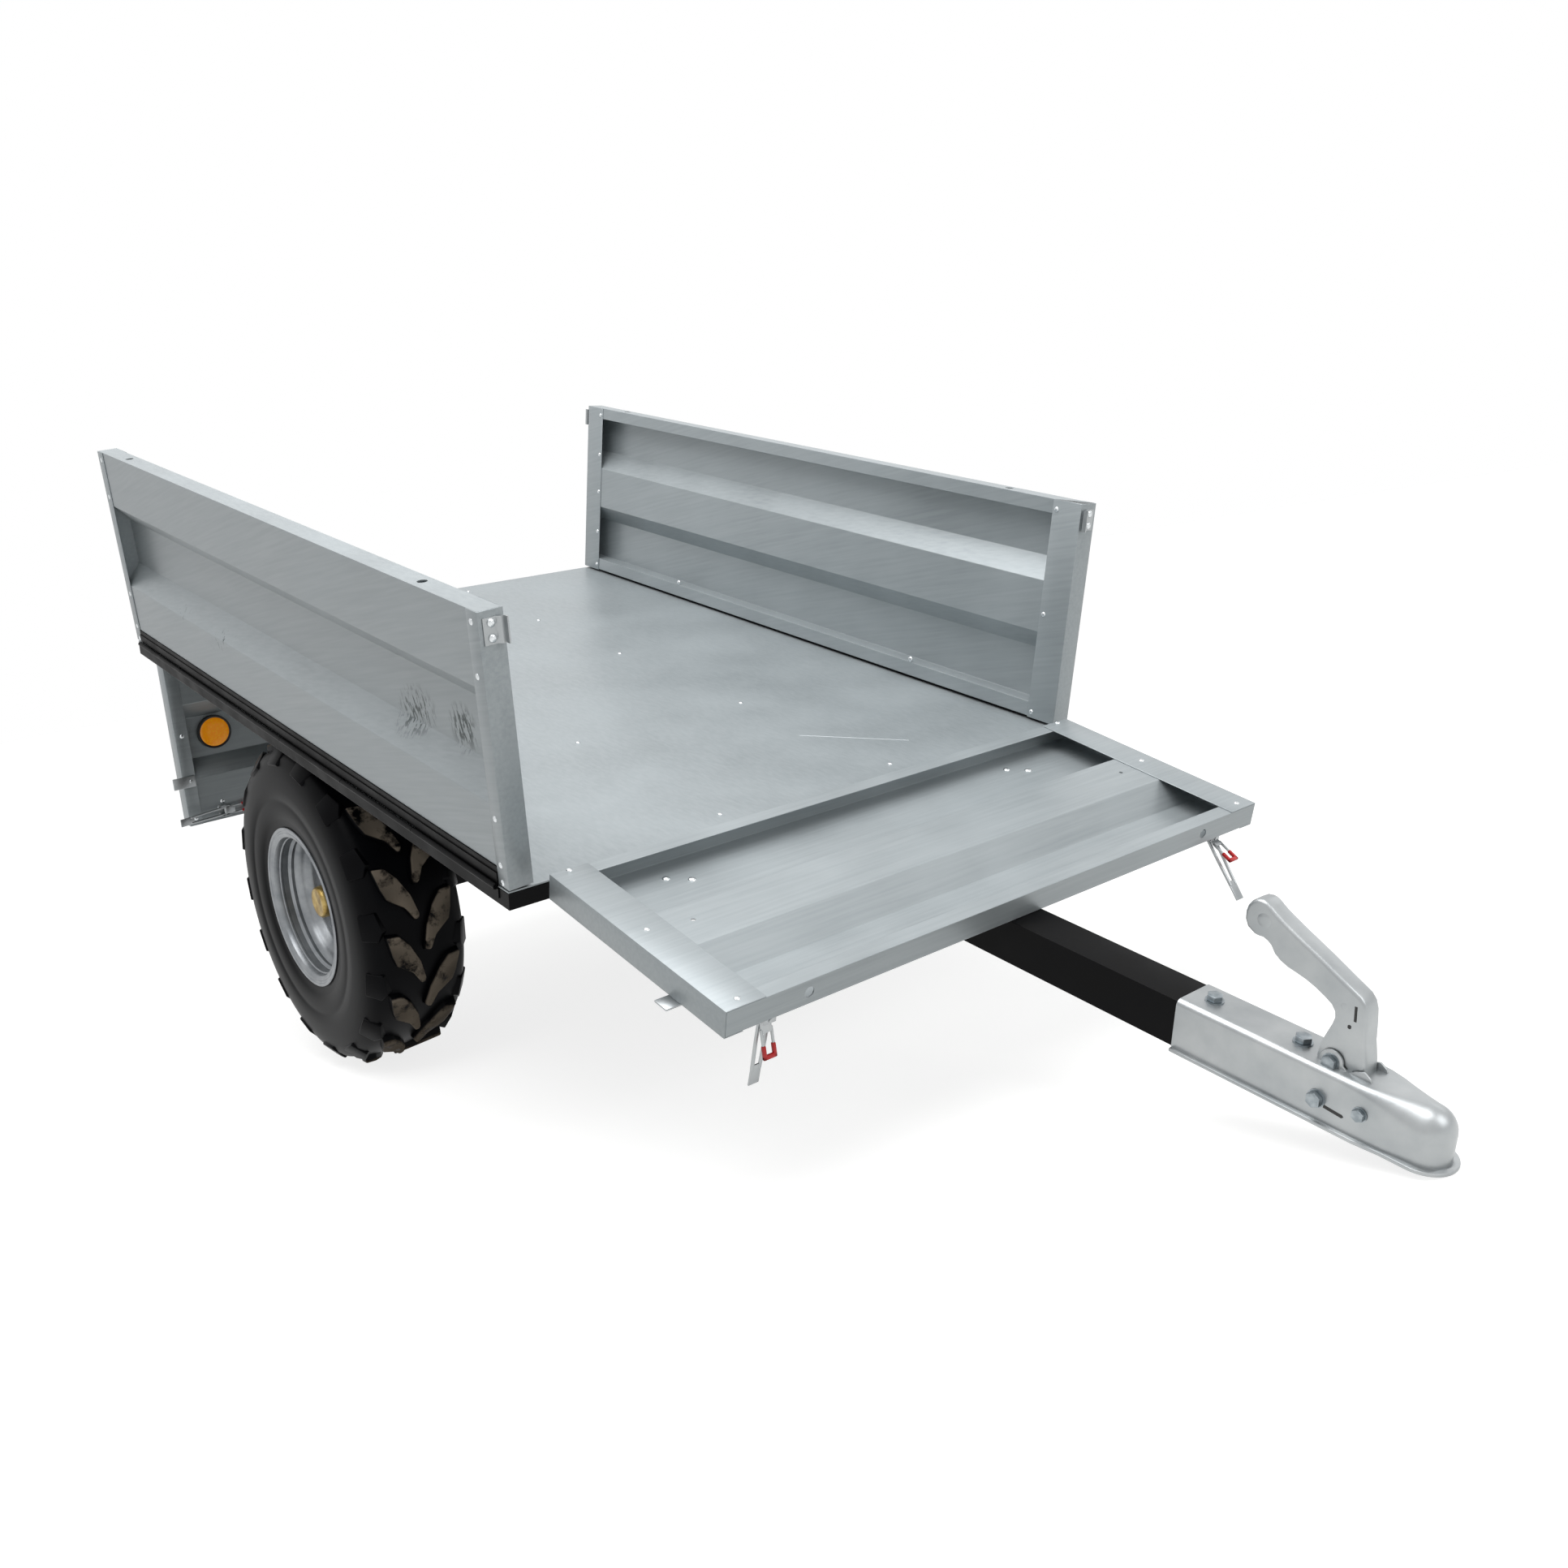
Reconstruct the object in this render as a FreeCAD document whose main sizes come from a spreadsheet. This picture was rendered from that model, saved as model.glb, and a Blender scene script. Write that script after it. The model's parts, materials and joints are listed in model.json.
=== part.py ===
# Dump trailer: a tipping bed with four folding boards on a single axle chassis
import FreeCAD, Part
import Sketcher
import math
import os
import re
from FreeCAD import Placement, Rotation, Vector

doc = FreeCAD.newDocument("dump_trailer")
sheet = doc.addObject("Spreadsheet::Sheet", "sizes")

# Driving sizes, in millimetres and degrees
# Level frame: Y runs rearwards from the front of the side boards, X to the left, Z up from the floor sheet
driving = [
    # alias, value, what it is
    ("bed_length", 1440, "side boards, end to end"),
    ("bed_width", 1076, "over the two side boards"),
    ("side_height", 369, "side board, bottom to top"),
    ("seam_gap", 2, "side board above the floor sheet"),
    ("board_thickness", 36, "side boards and gates"),
    ("sheet_wall", 1.5, "pressed board sheet"),
    ("cap_wall", 1.5, "folded end caps"),
    ("cap_outer_flange", 27, "end cap flange on the outer face"),
    ("cap_inner_flange", 58, "end cap flange on the inner face"),
    ("rib_foot", 113, "board bottom to the rib"),
    ("rib_slope", 35, "height of each rib slope"),
    ("rib_crown", 86, "height of the rib crown"),
    ("board_lip", 23, "lip below a board's top face"),
    ("side_rail_height", 25, "black rail under the side sheet"),
    ("side_lean", 3.7, "side boards lean out, as photographed"),
    ("post_hole", 14, "diameter of the holes in the top faces"),
    ("front_post_inset", 170, "side board's post hole from its front end"),
    ("rear_post_inset", 131, "side board's post hole from its rear end"),
    ("gate_height", 366, "gate, bottom to top"),
    ("gate_side_gap", 5, "gate to side board, each end"),
    ("gate_floor_gap", 5.5, "closed gate above the floor"),
    ("gate_face_offset", 0.5, "gate face ahead of the side boards' ends"),
    ("gate_bottom_lip", 22, "lip above a gate's bottom face"),
    ("rear_gate_lean", 7, "hanging gate, its foot leaning to the front"),
    ("reflector_diameter", 70, "amber reflector"),
    ("reflector_depth", 9, "amber reflector"),
    ("reflector_inset", 89, "reflector from the gate's end"),
    ("reflector_margin", 3, "reflector above the rib's slope"),
    ("reflector_hole", 6, "fixing hole behind each reflector"),
    ("hinge_pin", 8, "gate hinge pin diameter"),
    ("hinge_barrel", 14, "gate hinge barrel diameter"),
    ("pin_clearance", 0.05, "radial clearance at the pins"),
    ("gate_axis_drop", 14.5, "gate hinge axis below the floor"),
    ("gate_axis_out", 7, "gate hinge axis ahead of the side boards' ends"),
    ("strap_inset", 168, "gate hinge from the gate's end"),
    ("strap_width", 50, "gate hinge strap"),
    ("strap_wall", 3, "gate hinge strap"),
    ("strap_length", 76, "strap above the gate's bottom"),
    ("lug_wall", 6, "gate hinge lugs on the bed"),
    ("side_axis_out", 4.5, "side hinge axis outside the side boards"),
    ("knuckle_diameter", 8, "side hinge knuckles"),
    ("side_pin", 4, "side hinge pin diameter"),
    ("leaf_wall", 1.5, "side hinge leaves"),
    ("leaf_height", 18, "side hinge leaves"),
    ("knuckle_count", 6, "knuckles along each side hinge"),
    ("knuckle_gap", 1, "between knuckles"),
    ("floor_wall", 2, "floor sheet"),
    ("floor_margin", 3, "floor and frame behind the boards' ends"),
    ("frame_height", 25, "bed frame rails"),
    ("frame_width", 35, "bed frame rails"),
    ("frame_wall", 3, "bed frame rails"),
    ("cross_width", 40, "bed cross members"),
    ("beam_x", 168, "bed beams from the middle"),
    ("beam_width", 40, "bed beams"),
    ("beam_height", 30, "bed beams"),
    ("pivot_y", 918, "tipping pivot behind the boards' front ends"),
    ("pivot_drop", 75, "tipping pivot below the floor"),
    ("pivot_tube_diameter", 48, "pivot tube"),
    ("pivot_pin", 25, "pivot pin diameter"),
    ("tip_lug_wall", 8, "tipping lugs"),
    ("tip_lug_radius", 25, "round end of a tipping lug"),
    ("bar_size", 60, "square drawbar"),
    ("bar_wall", 4, "square drawbar"),
    ("bar_drop", 40, "top of the drawbar below the floor"),
    ("bar_front", 812, "drawbar's front end ahead of the boards"),
    ("seat_gap", 0.3, "pieces that rest on each other"),
    ("axle_y", 788, "wheel axis behind the boards' front ends"),
    ("tyre_floor_gap", 39, "tyre below the floor"),
    ("axle_size", 60, "square axle beam"),
    ("hub_to_axle", 41, "hub's inner end to the axle beam"),
    ("leg_size", 50, "square legs"),
    ("leg_x", 120, "legs from the middle"),
    ("strut_diameter", 30, "round struts"),
    ("strut_front_y", 220, "struts' front ends"),
    ("strut_inset", 60, "struts from the axle beam's ends"),
    ("wheel_inset", 112, "wheel centre inside the side boards"),
    ("tyre_radius", 297, "tyre over the lugs"),
    ("tyre_width", 190, "tyre over its side walls"),
    ("lug_height", 15, "lugs above the carcass"),
    ("lug_count", 16, "lugs in each of the four rows"),
    ("lug_root", 8, "lugs reach this far into the carcass"),
    ("lug_sag", 3, "flat tops below the corners that run on the ground"),
    ("crown_lean", 4, "middle lugs lean to the shoulder"),
    ("shoulder_lean", 50, "shoulder lugs lean to the side wall"),
    ("shoulder_x", 66, "shoulder lugs start this far from the middle"),
    ("shoulder_drop", 6, "shoulder lugs start below the crown"),
    ("shoulder_shift", 48, "shoulder lugs ahead of the middle lugs"),
    ("round_sides", 20, "sides of the tyres, rims and hubs"),
    ("barrel_sides", 12, "sides of the hinge barrels"),
    ("wire_sides", 8, "sides of the latch wires"),
    ("rim_radius", 143, "rim flange"),
    ("bead_radius", 127, "rim bead seat"),
    ("well_radius", 106, "rim well"),
    ("rim_width", 180, "rim over its flanges"),
    ("rim_wall", 3.5, "rim"),
    ("hump_width", 27, "bead seat of the rim's inner side"),
    ("disc_inset", 75, "wheel disc inside the outer flange"),
    ("disc_wall", 5, "wheel disc"),
    ("hub_diameter", 62, "hub barrel"),
    ("hub_flange", 150, "hub flange diameter"),
    ("hub_flange_wall", 8, "hub flange"),
    ("hub_inner_end", 95, "hub barrel inside the wheel centre"),
    ("cap_diameter", 57, "dust cap"),
    ("cap_face_inset", 30, "dust cap's face inside the rim flange"),
    ("cap_shell", 2, "dust cap wall"),
    ("spindle_diameter", 30, "wheel spindle"),
    ("spindle_collar", 46, "collar at the hub's inner end"),
    ("coupler_wall", 3, "pressed coupler"),
    ("coupler_tail", 651, "coupler's tail ahead of the boards"),
    ("coupler_ball_y", 945, "ball centre ahead of the boards"),
    ("ball_diameter", 50, "tow ball"),
    ("socket_clearance", 0.4, "ball to socket, radially"),
    ("coupler_flange", 6, "outward flange along the coupler's foot"),
    ("nose_radius", 36, "coupler's nose in plan"),
    ("handle_width", 27, "coupler handle"),
    ("handle_wall", 2.5, "coupler handle"),
    ("handle_pivot_y", 838, "handle pivot ahead of the boards"),
    ("handle_pivot_drop", 33, "handle pivot below the floor"),
    ("handle_pin", 10, "handle pivot pin"),
    ("latch_inset", 62, "toggle latch from the gate's end"),
    ("latch_drop", 19, "toggle latch below the gate's top"),
    ("bail_length", 100, "wire bail"),
    ("bail_width", 14, "wire bail, between its wires"),
    ("lever_length", 52, "toggle lever"),
    ("lever_width", 20, "toggle lever"),
    ("lever_wall", 4, "toggle lever"),
    ("latch_lift", 9, "toggle pivot off the gate"),
    ("latch_width", 24, "toggle latch base and tab, up the gate"),
    ("latch_wire", 4, "toggle wire diameter"),
    ("lever_spread", 24, "toggle lever to its bail, in degrees"),
    ("bail_off", 12, "rear bails stand off the gate, in degrees"),
    ("left_bail_lean", 44, "left bail leans to the gate's top, as photographed"),
    ("right_bail_lean", -6, "right bail leans to the gate's foot, as photographed"),
    ("tab_height", 272, "tab above the gate's bottom"),
    ("tab_reach", 20, "tab past the gate's end"),
    ("keeper_height", 343, "keeper above the side board's bottom"),
    ("keeper_width", 34, "keeper, up the board's end"),
    ("keeper_wall", 2, "keeper"),
    ("keeper_start", 6, "keeper from the board's outer face"),
    ("keeper_joggle", 24, "keeper from the board's outer face to its bend"),
    ("keeper_run", 5, "keeper's slanted run"),
    ("keeper_seat", 5, "keeper's raised run"),
    ("keeper_rise", 6, "keeper's raised run off the board's end"),
    ("keeper_curl", 7, "keeper's curled edge"),
    ("latch_base", 23, "toggle latch base along the gate"),
    ("tab_seat", 25, "tab over the gate's end"),
    ("gate_post_inset", 123, "gate post hole from the gate's end"),
    ("axle_wall", 5, "axle beam"),
    ("spindle_length", 166, "spindle past the axle beam"),
    ("spindle_shoulder", 10, "axle beam to the collar"),
    ("pivot_side_gap", 5, "pivot tube to the tipping lugs"),
    ("pin_end", 4, "pin past the plate it passes through"),
    ("catch_y", 60, "tipping latch behind the boards' front ends"),
    ("catch_drop", 70, "tipping latch pin below the floor"),
    ("catch_pin", 12, "tipping latch pin diameter"),
    ("catch_wall", 6, "tongue of the tipping catch"),
    ("catch_gap", 6, "tongue to the drawbar"),
    ("pin_back", 6, "pulled pin's tip to the tongue"),
    ("bracket_length", 50, "latch bracket out from the drawbar"),
    ("bracket_width", 30, "latch bracket along the drawbar"),
    ("bracket_wall", 4, "latch bracket"),
    ("bracket_drop", 28, "latch bracket's foot below its pin"),
    ("knob_reach", 22, "latch knob past its bracket"),
    ("member_step", 376, "front cross members, one to the next"),
    ("rear_member_gap", 180, "fourth cross member behind the pivot"),
    ("hinge_side_gap", 1, "gate strap to the lugs"),
    ("lug_edge", 2, "gate hinge lug past the barrel's radius"),
    ("ball_drop", 67, "ball centre below the floor"),
    ("coupler_neck_y", 900, "where the channel narrows to the head"),
    ("handle_slot", 12, "slot ahead of the coupler's channel"),
    ("ear_gap", 1, "handle to the coupler's ears"),
    ("ear_radius", 13, "round ears at the handle pivot"),
    ("front_ear_y", 884, "front ears ahead of the boards"),
    ("front_ear_drop", 15, "top of the front ears below the floor"),
    ("handle_toe", 44, "handle ahead of its pivot"),
    ("handle_rise", 84, "handle's elbow above its pivot"),
    ("handle_reach", 111, "handle behind its pivot"),
    ("well_half", 45, "rim well from the wheel's middle"),
    ("tyre_wall", 9, "tyre carcass"),
]
# Sizes that follow from others
following = [
    # alias, formula, what it is
    ("gate_half", "bed_width / 2 - board_thickness - gate_side_gap", "gate's end from the middle"),
    ("reflector_x", "gate_half - reflector_inset", "reflector from the middle"),
    ("strap_x", "gate_half - strap_inset", "gate hinge from the middle"),
    ("axle_drop", "tyre_radius + tyre_floor_gap", "wheel axis below the floor"),
    ("wheel_x", "bed_width / 2 - wheel_inset", "wheel centre from the middle"),
    ("axle_half_length", "wheel_x - hub_inner_end - hub_to_axle", "axle beam from the middle"),
    ("strut_axle_x", "axle_half_length - strut_inset", "struts at the axle, from the middle"),
    ("carcass_radius", "tyre_radius - lug_height", "tyre between the lugs"),
]
rows = [(alias, str(number), meaning) for alias, number, meaning in driving]
rows += [(alias, f"={formula}", meaning) for alias, formula, meaning in following]
for row, (alias, content, meaning) in enumerate(rows, start=1):
    sheet.set(f"A{row}", meaning)
    sheet.set(f"B{row}", content)
    sheet.setAlias(f"B{row}", alias)
doc.recompute()

functions = {"sin", "cos", "tan", "sqrt"}


# Turns the plain words of a size formula into references to the sheet
def bound(formula):
    word = r"[a-z][a-z_0-9]*"
    return re.sub(word, lambda found: found[0] if found[0] in functions else "sizes." + found[0], str(formula))


# The number that a size formula gives now
def value(formula):
    return float(sheet.evalExpression(bound(formula)))


def add(kind, name):
    return doc.addObject(kind, name)


# A box from pairs of low and high formulas
def box(x, y, z):
    solid = add("Part::Box", "box")
    for side, axis, (low, high) in (("Length", "x", x), ("Width", "y", y), ("Height", "z", z)):
        solid.setExpression(side, bound(f"({high}) - ({low})"))
        solid.setExpression(f"Placement.Base.{axis}", bound(low))
    return solid


turns = {"x": Rotation(Vector(0, 1, 0), 90), "y": Rotation(Vector(1, 0, 0), -90), "z": Rotation()}


# A bar along an axis: its centre in the other two axes, its two ends, its radius and its sides if not round
def rod(axis, centre, ends, radius, sides=None):
    solid = add("Part::Prism" if sides else "Part::Cylinder", "rod")
    if sides:
        solid.setExpression("Polygon", bound(sides))
    solid.setExpression("Circumradius" if sides else "Radius", bound(radius))
    solid.setExpression("Height", bound(f"({ends[1]}) - ({ends[0]})"))
    solid.Placement = Placement(Vector(), turns[axis])
    across = [name for name in "xyz" if name != axis]
    solid.setExpression(f"Placement.Base.{axis}", bound(ends[0]))
    for name, formula in zip(across, centre):
        solid.setExpression(f"Placement.Base.{name}", bound(formula))
    return solid


def fuse(*shapes):
    joined = add("Part::MultiFuse", "joined")
    joined.Shapes = list(shapes)
    joined.Refine = True
    return joined


def cut(base, *tools):
    left = add("Part::Cut", "left")
    left.Base = base
    left.Tool = tools[0] if len(tools) == 1 else fuse(*tools)
    left.Refine = True
    return left


# A hollow square tube along one axis
def square_tube(x, y, z, wall, along):
    spans = {"x": x, "y": y, "z": z}
    inner = {name: (f"({low}) + {wall}", f"({high}) - {wall}") for name, (low, high) in spans.items()}
    inner[along] = (f"({spans[along][0]}) - 1", f"({spans[along][1]}) + 1")
    return cut(box(x, y, z), box(inner["x"], inner["y"], inner["z"]))


# A closed outline of formula pairs on one of the body's own planes
def outline(body, role, points, offset="0"):
    sketch = body.newObject("Sketcher::SketchObject", "outline")
    plane = [item for item in body.Origin.OriginFeatures if item.Role == role][0]
    sketch.AttachmentSupport = [(plane, "")]
    sketch.MapMode = "FlatFace"
    sketch.setExpression("AttachmentOffset.Base.z", bound(offset))
    spots = [Vector(value(first), value(second), 0) for first, second in points]
    for number, spot in enumerate(spots):
        sketch.addGeometry(Part.LineSegment(spot, spots[(number + 1) % len(spots)]), False)
    for number, (first, second) in enumerate(points):
        sketch.addConstraint(Sketcher.Constraint("Coincident", number, 2, (number + 1) % len(points), 1))
        for kind, formula, amount in (("DistanceX", first, spots[number].x), ("DistanceY", second, spots[number].y)):
            index = sketch.addConstraint(Sketcher.Constraint(kind, -1, 1, number, 1, amount))
            sketch.setExpression(f"Constraints[{index}]", bound(formula))
    return sketch


# A solid drawn out from an outline on one plane
def drawn(name, role, points, length, offset="0"):
    body = add("PartDesign::Body", name)
    profile = outline(body, role, points, offset)
    pad = body.newObject("PartDesign::Pad", "pad")
    pad.Profile = (profile, [""])
    pad.setExpression("Length", bound(length))
    return body


# The sheet's values for the shapes that are set by their own points
class Sizes:
    pass


size = Sizes()
for alias, content, meaning in rows:
    setattr(size, alias, float(sheet.get(alias)))

spread = {
    "x": lambda first, second, along: Vector(along, first, second),
    "y": lambda first, second, along: Vector(first, along, second),
    "z": lambda first, second, along: Vector(first, second, along),
}


# A folded sheet: the middle line of its section thickened with mitred bends, drawn along an axis
def folded(points, wall, along, ends):
    spots = [Vector(first, second, 0) for first, second in points]
    runs = [(after - before).normalize() for before, after in zip(spots, spots[1:])]
    sides = [Vector(-run.y, run.x, 0) for run in runs]
    pairs = zip([sides[0]] + sides, sides + [sides[-1]])
    shifts = [(one + two) * (wall / 2 / (1 + one.dot(two))) for one, two in pairs]
    ring = [spot + shift for spot, shift in zip(spots, shifts)]
    ring += [spot - shift for spot, shift in reversed(list(zip(spots, shifts)))]
    corners = [spread[along](spot.x, spot.y, ends[0]) for spot in ring]
    face = Part.Face(Part.makePolygon(corners + corners[:1]))
    feature = add("Part::Feature", "folded")
    feature.Shape = face.extrude(spread[along](0, 0, ends[1] - ends[0]))
    return feature


# The same shapes again, moved or turned
def again(move, *shapes):
    copy = add("Part::Compound", "again")
    copy.Links = list(shapes)
    copy.Placement = move
    return copy


half_turn = Rotation(Vector(0, 0, 1), 180)
other_end = Placement(Vector(0, size.bed_length, 0), half_turn)
nodes = []


# One named piece, kept with the group it moves with
def piece(label, group, *members):
    whole = add("Part::Compound", label)
    whole.Label = label
    whole.Links = list(members)
    nodes.append((whole, group))
    return whole


# Chassis: square drawbar, coped round the pivot tube at its rear end
bar_x = ("-bar_size / 2", "bar_size / 2")
bar_z = ("-bar_drop - bar_size", "-bar_drop")
pivot_line = ("pivot_y", "-pivot_drop")
bar = square_tube(bar_x, ("-bar_front", "pivot_y"), bar_z, "bar_wall", "y")
cope = rod("x", pivot_line, ("-bar_size", "bar_size"), "pivot_tube_diameter / 2 + seat_gap")
latch_hole = rod("x", ("catch_y", "-catch_drop"), ("0", "bar_size"), "catch_pin / 2 + seat_gap")
piece("drawbar", "chassis", cut(bar, cope, latch_hole))

cross_z = ("-bar_drop - 2 * bar_size", "-bar_drop - bar_size")
cross_y = ("axle_y - bar_size / 2", "axle_y + bar_size / 2")
cross_x = ("-leg_x - bar_size", "leg_x + bar_size")
piece("chassis_cross", "chassis", square_tube(cross_x, cross_y, cross_z, "bar_wall", "x"))

for side, way in (("left", "1"), ("right", "-1")):
    leg_span = (f"{way} * leg_x - leg_size / 2", f"{way} * leg_x + leg_size / 2")
    leg_depth = ("axle_y - leg_size / 2", "axle_y + leg_size / 2")
    leg_z = ("-axle_drop + axle_size / 2", "-bar_drop - 2 * bar_size")
    piece(f"leg_{side}", "chassis", square_tube(leg_span, leg_depth, leg_z, "bar_wall", "z"))

axle_span = ("-axle_half_length", "axle_half_length")
axle_depth = ("axle_y - axle_size / 2", "axle_y + axle_size / 2")
axle_z = ("-axle_drop - axle_size / 2", "-axle_drop + axle_size / 2")
piece("axle_beam", "chassis", square_tube(axle_span, axle_depth, axle_z, "axle_wall", "x"))

axle_line = ("axle_y", "-axle_drop")
hub_end = "wheel_x - hub_inner_end - seat_gap"
spindle_end = "axle_half_length + spindle_length"
collar_start = "axle_half_length + spindle_shoulder"
spindle = fuse(
    box(("axle_half_length", "axle_half_length + axle_wall"), axle_depth, axle_z),
    rod("x", axle_line, ("axle_half_length", spindle_end), "spindle_diameter / 2"),
    rod("x", axle_line, (collar_start, hub_end), "spindle_collar / 2"),
)
far_side = Placement(Vector(0, 2 * size.axle_y, 0), half_turn)
piece("spindles", "chassis", spindle, again(far_side, spindle))

# Round struts from the axle beam forward to the sides of the drawbar
strut_foot = Vector(size.strut_axle_x, size.axle_y, -size.axle_drop)
strut_head = Vector(0, size.strut_front_y, -size.bar_drop - size.bar_size / 2)
for side, way in (("left", 1), ("right", -1)):
    foot = Vector(way * strut_foot.x, strut_foot.y, strut_foot.z)
    bar_round = add("Part::Feature", "strut")
    run = strut_head - foot
    bar_round.Shape = Part.makeCylinder(size.strut_diameter / 2, run.Length, foot, run)
    beside = (f"{-way} * bar_size", f"{way} * (bar_size / 2 + seat_gap)")
    past_bar = box(
        beside if way > 0 else beside[::-1],
        ("-bar_front", "axle_y"),
        ("-axle_drop", "0"),
    )
    past_axle = box(
        ("-axle_half_length", "axle_half_length"),
        ("axle_y - axle_size / 2 - seat_gap", "axle_y + axle_size"),
        ("-axle_drop - axle_size", "0"),
    )
    piece(f"strut_{side}", "chassis", cut(bar_round, past_bar, past_axle))

# Tipping pivot: a tube across the drawbar's end with a pin through it
tube_reach = "beam_x - beam_width / 2 - tip_lug_wall - pivot_side_gap"
pin_reach = "beam_x + beam_width / 2 + tip_lug_wall + pin_end"
piece("pivot_tube", "chassis", fuse(
    rod("x", pivot_line, (f"-({tube_reach})", tube_reach), "pivot_tube_diameter / 2"),
    rod("x", pivot_line, (f"-({pin_reach})", pin_reach), "pivot_pin / 2"),
))

# The bed's front cross member rests on this pad
front_member_y = "frame_width + floor_margin + cross_width / 2"
pad_y = (f"{front_member_y} - bar_size / 2", f"{front_member_y} + bar_size / 2")
frame_bottom = "-floor_wall - frame_height"
piece("rest_pad", "chassis", box(bar_x, pad_y, ("-bar_drop", f"{frame_bottom} - seat_gap")))

# Tipping latch, pulled back: a pin in a bracket on the drawbar's side
catch_line = ("catch_y", "-catch_drop")
bracket_start = "bar_size / 2"
bracket_end = "bar_size / 2 + bracket_length"
bracket_y = ("catch_y - bracket_width / 2", "catch_y + bracket_width / 2")
guide_start = "bar_size / 2 + catch_gap + catch_wall + pin_back"
foot_z = ("-catch_drop - bracket_drop", "-catch_drop - bracket_drop + bracket_wall")
guide_z = ("-catch_drop - bracket_drop + bracket_wall", "-catch_drop + bracket_width / 2")
pin_bore = rod("x", catch_line, (bracket_start, "bed_width / 2"), "catch_pin / 2 + pin_clearance")
guides = fuse(
    box((bracket_start, bracket_end), bracket_y, foot_z),
    box((guide_start, f"{guide_start} + bracket_wall"), bracket_y, guide_z),
    box((f"{bracket_end} - bracket_wall", bracket_end), bracket_y, guide_z),
)
pulled_pin = fuse(
    rod("x", catch_line, (guide_start, f"{bracket_end} + knob_reach"), "catch_pin / 2"),
    rod("x", catch_line, (f"{bracket_end} + knob_reach - bracket_wall", f"{bracket_end} + knob_reach"),
        "catch_pin"),
)
piece("tip_latch", "chassis", cut(guides, pin_bore), pulled_pin)

# Coupler: a pressed channel over the drawbar that ends in a ball socket
shell_half = "bar_size / 2 + seat_gap + coupler_wall"
shell_top = "-bar_drop + seat_gap + coupler_wall"
shell_foot = "-bar_drop - bar_size"
flange_foot = f"{shell_foot} - coupler_wall"
socket_radius = "ball_diameter / 2 + socket_clearance"
head_radius = "ball_diameter / 2 + socket_clearance + coupler_wall"
ball_line = ("0", "-coupler_ball_y")
shell_y = ("-coupler_ball_y", "-coupler_tail")


def ball(radius):
    solid = add("Part::Sphere", "ball")
    solid.setExpression("Radius", bound(radius))
    solid.setExpression("Placement.Base.y", bound("-coupler_ball_y"))
    solid.setExpression("Placement.Base.z", bound("-ball_drop"))
    return solid


pressed = fuse(
    box((f"-({shell_half})", shell_half), ("-coupler_neck_y", "-coupler_tail"), (shell_foot, shell_top)),
    box((f"-({head_radius})", head_radius), ("-coupler_ball_y", "-coupler_neck_y"), (shell_foot, "-ball_drop")),
    rod("y", ("0", "-ball_drop"), ("-coupler_ball_y", "-coupler_neck_y"), head_radius),
    rod("z", ball_line, (flange_foot, "-ball_drop"), head_radius),
    rod("z", ball_line, (flange_foot, shell_foot), "nose_radius"),
    box((f"-({shell_half}) - coupler_flange", f"{shell_half} + coupler_flange"), shell_y,
        (flange_foot, shell_foot)),
    ball(head_radius),
)
inner_half = "bar_size / 2 + seat_gap"
hollow = fuse(
    box((f"-({inner_half})", inner_half), ("-coupler_neck_y + coupler_wall", "-coupler_tail + 1"),
        (f"{flange_foot} - 1", "-bar_drop + seat_gap")),
    box((f"-({socket_radius})", socket_radius), ("-coupler_ball_y", "-coupler_neck_y + 2 * coupler_wall"),
        (f"{flange_foot} - 1", "-ball_drop")),
    rod("y", ("0", "-ball_drop"), ("-coupler_ball_y", "-coupler_neck_y + 2 * coupler_wall"), socket_radius),
    rod("z", ball_line, (f"{flange_foot} - 1", "-ball_drop"), socket_radius),
    ball(socket_radius),
)
ear_inner = "handle_width / 2 + ear_gap"
ear_outer = f"{ear_inner} + coupler_wall"
ear_z = ("-bar_drop", "-handle_pivot_drop")
handle_line = ("-handle_pivot_y", "-handle_pivot_drop")
ears = fuse(
    rod("x", handle_line, (f"-({ear_outer})", ear_outer), "ear_radius"),
    box((f"-({ear_outer})", ear_outer), ("-handle_pivot_y - ear_radius", "-handle_pivot_y + ear_radius"), ear_z),
    box((f"-({ear_outer})", ear_outer), ("-front_ear_y - ear_radius", "-front_ear_y"),
        ("-bar_drop", "-front_ear_drop")),
)
ear_slot = box((f"-({ear_inner})", ear_inner),
               ("-coupler_neck_y - handle_slot", "-handle_pivot_y + ear_radius + handle_slot"),
               ("-bar_drop - bar_size / 2", "0"))
pin_hole = rod("x", handle_line, ("-bed_width / 2", "bed_width / 2"), "handle_pin / 2 + pin_clearance")
piece("coupler_body", "chassis", cut(fuse(pressed, ears), hollow, ear_slot, pin_hole))

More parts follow.
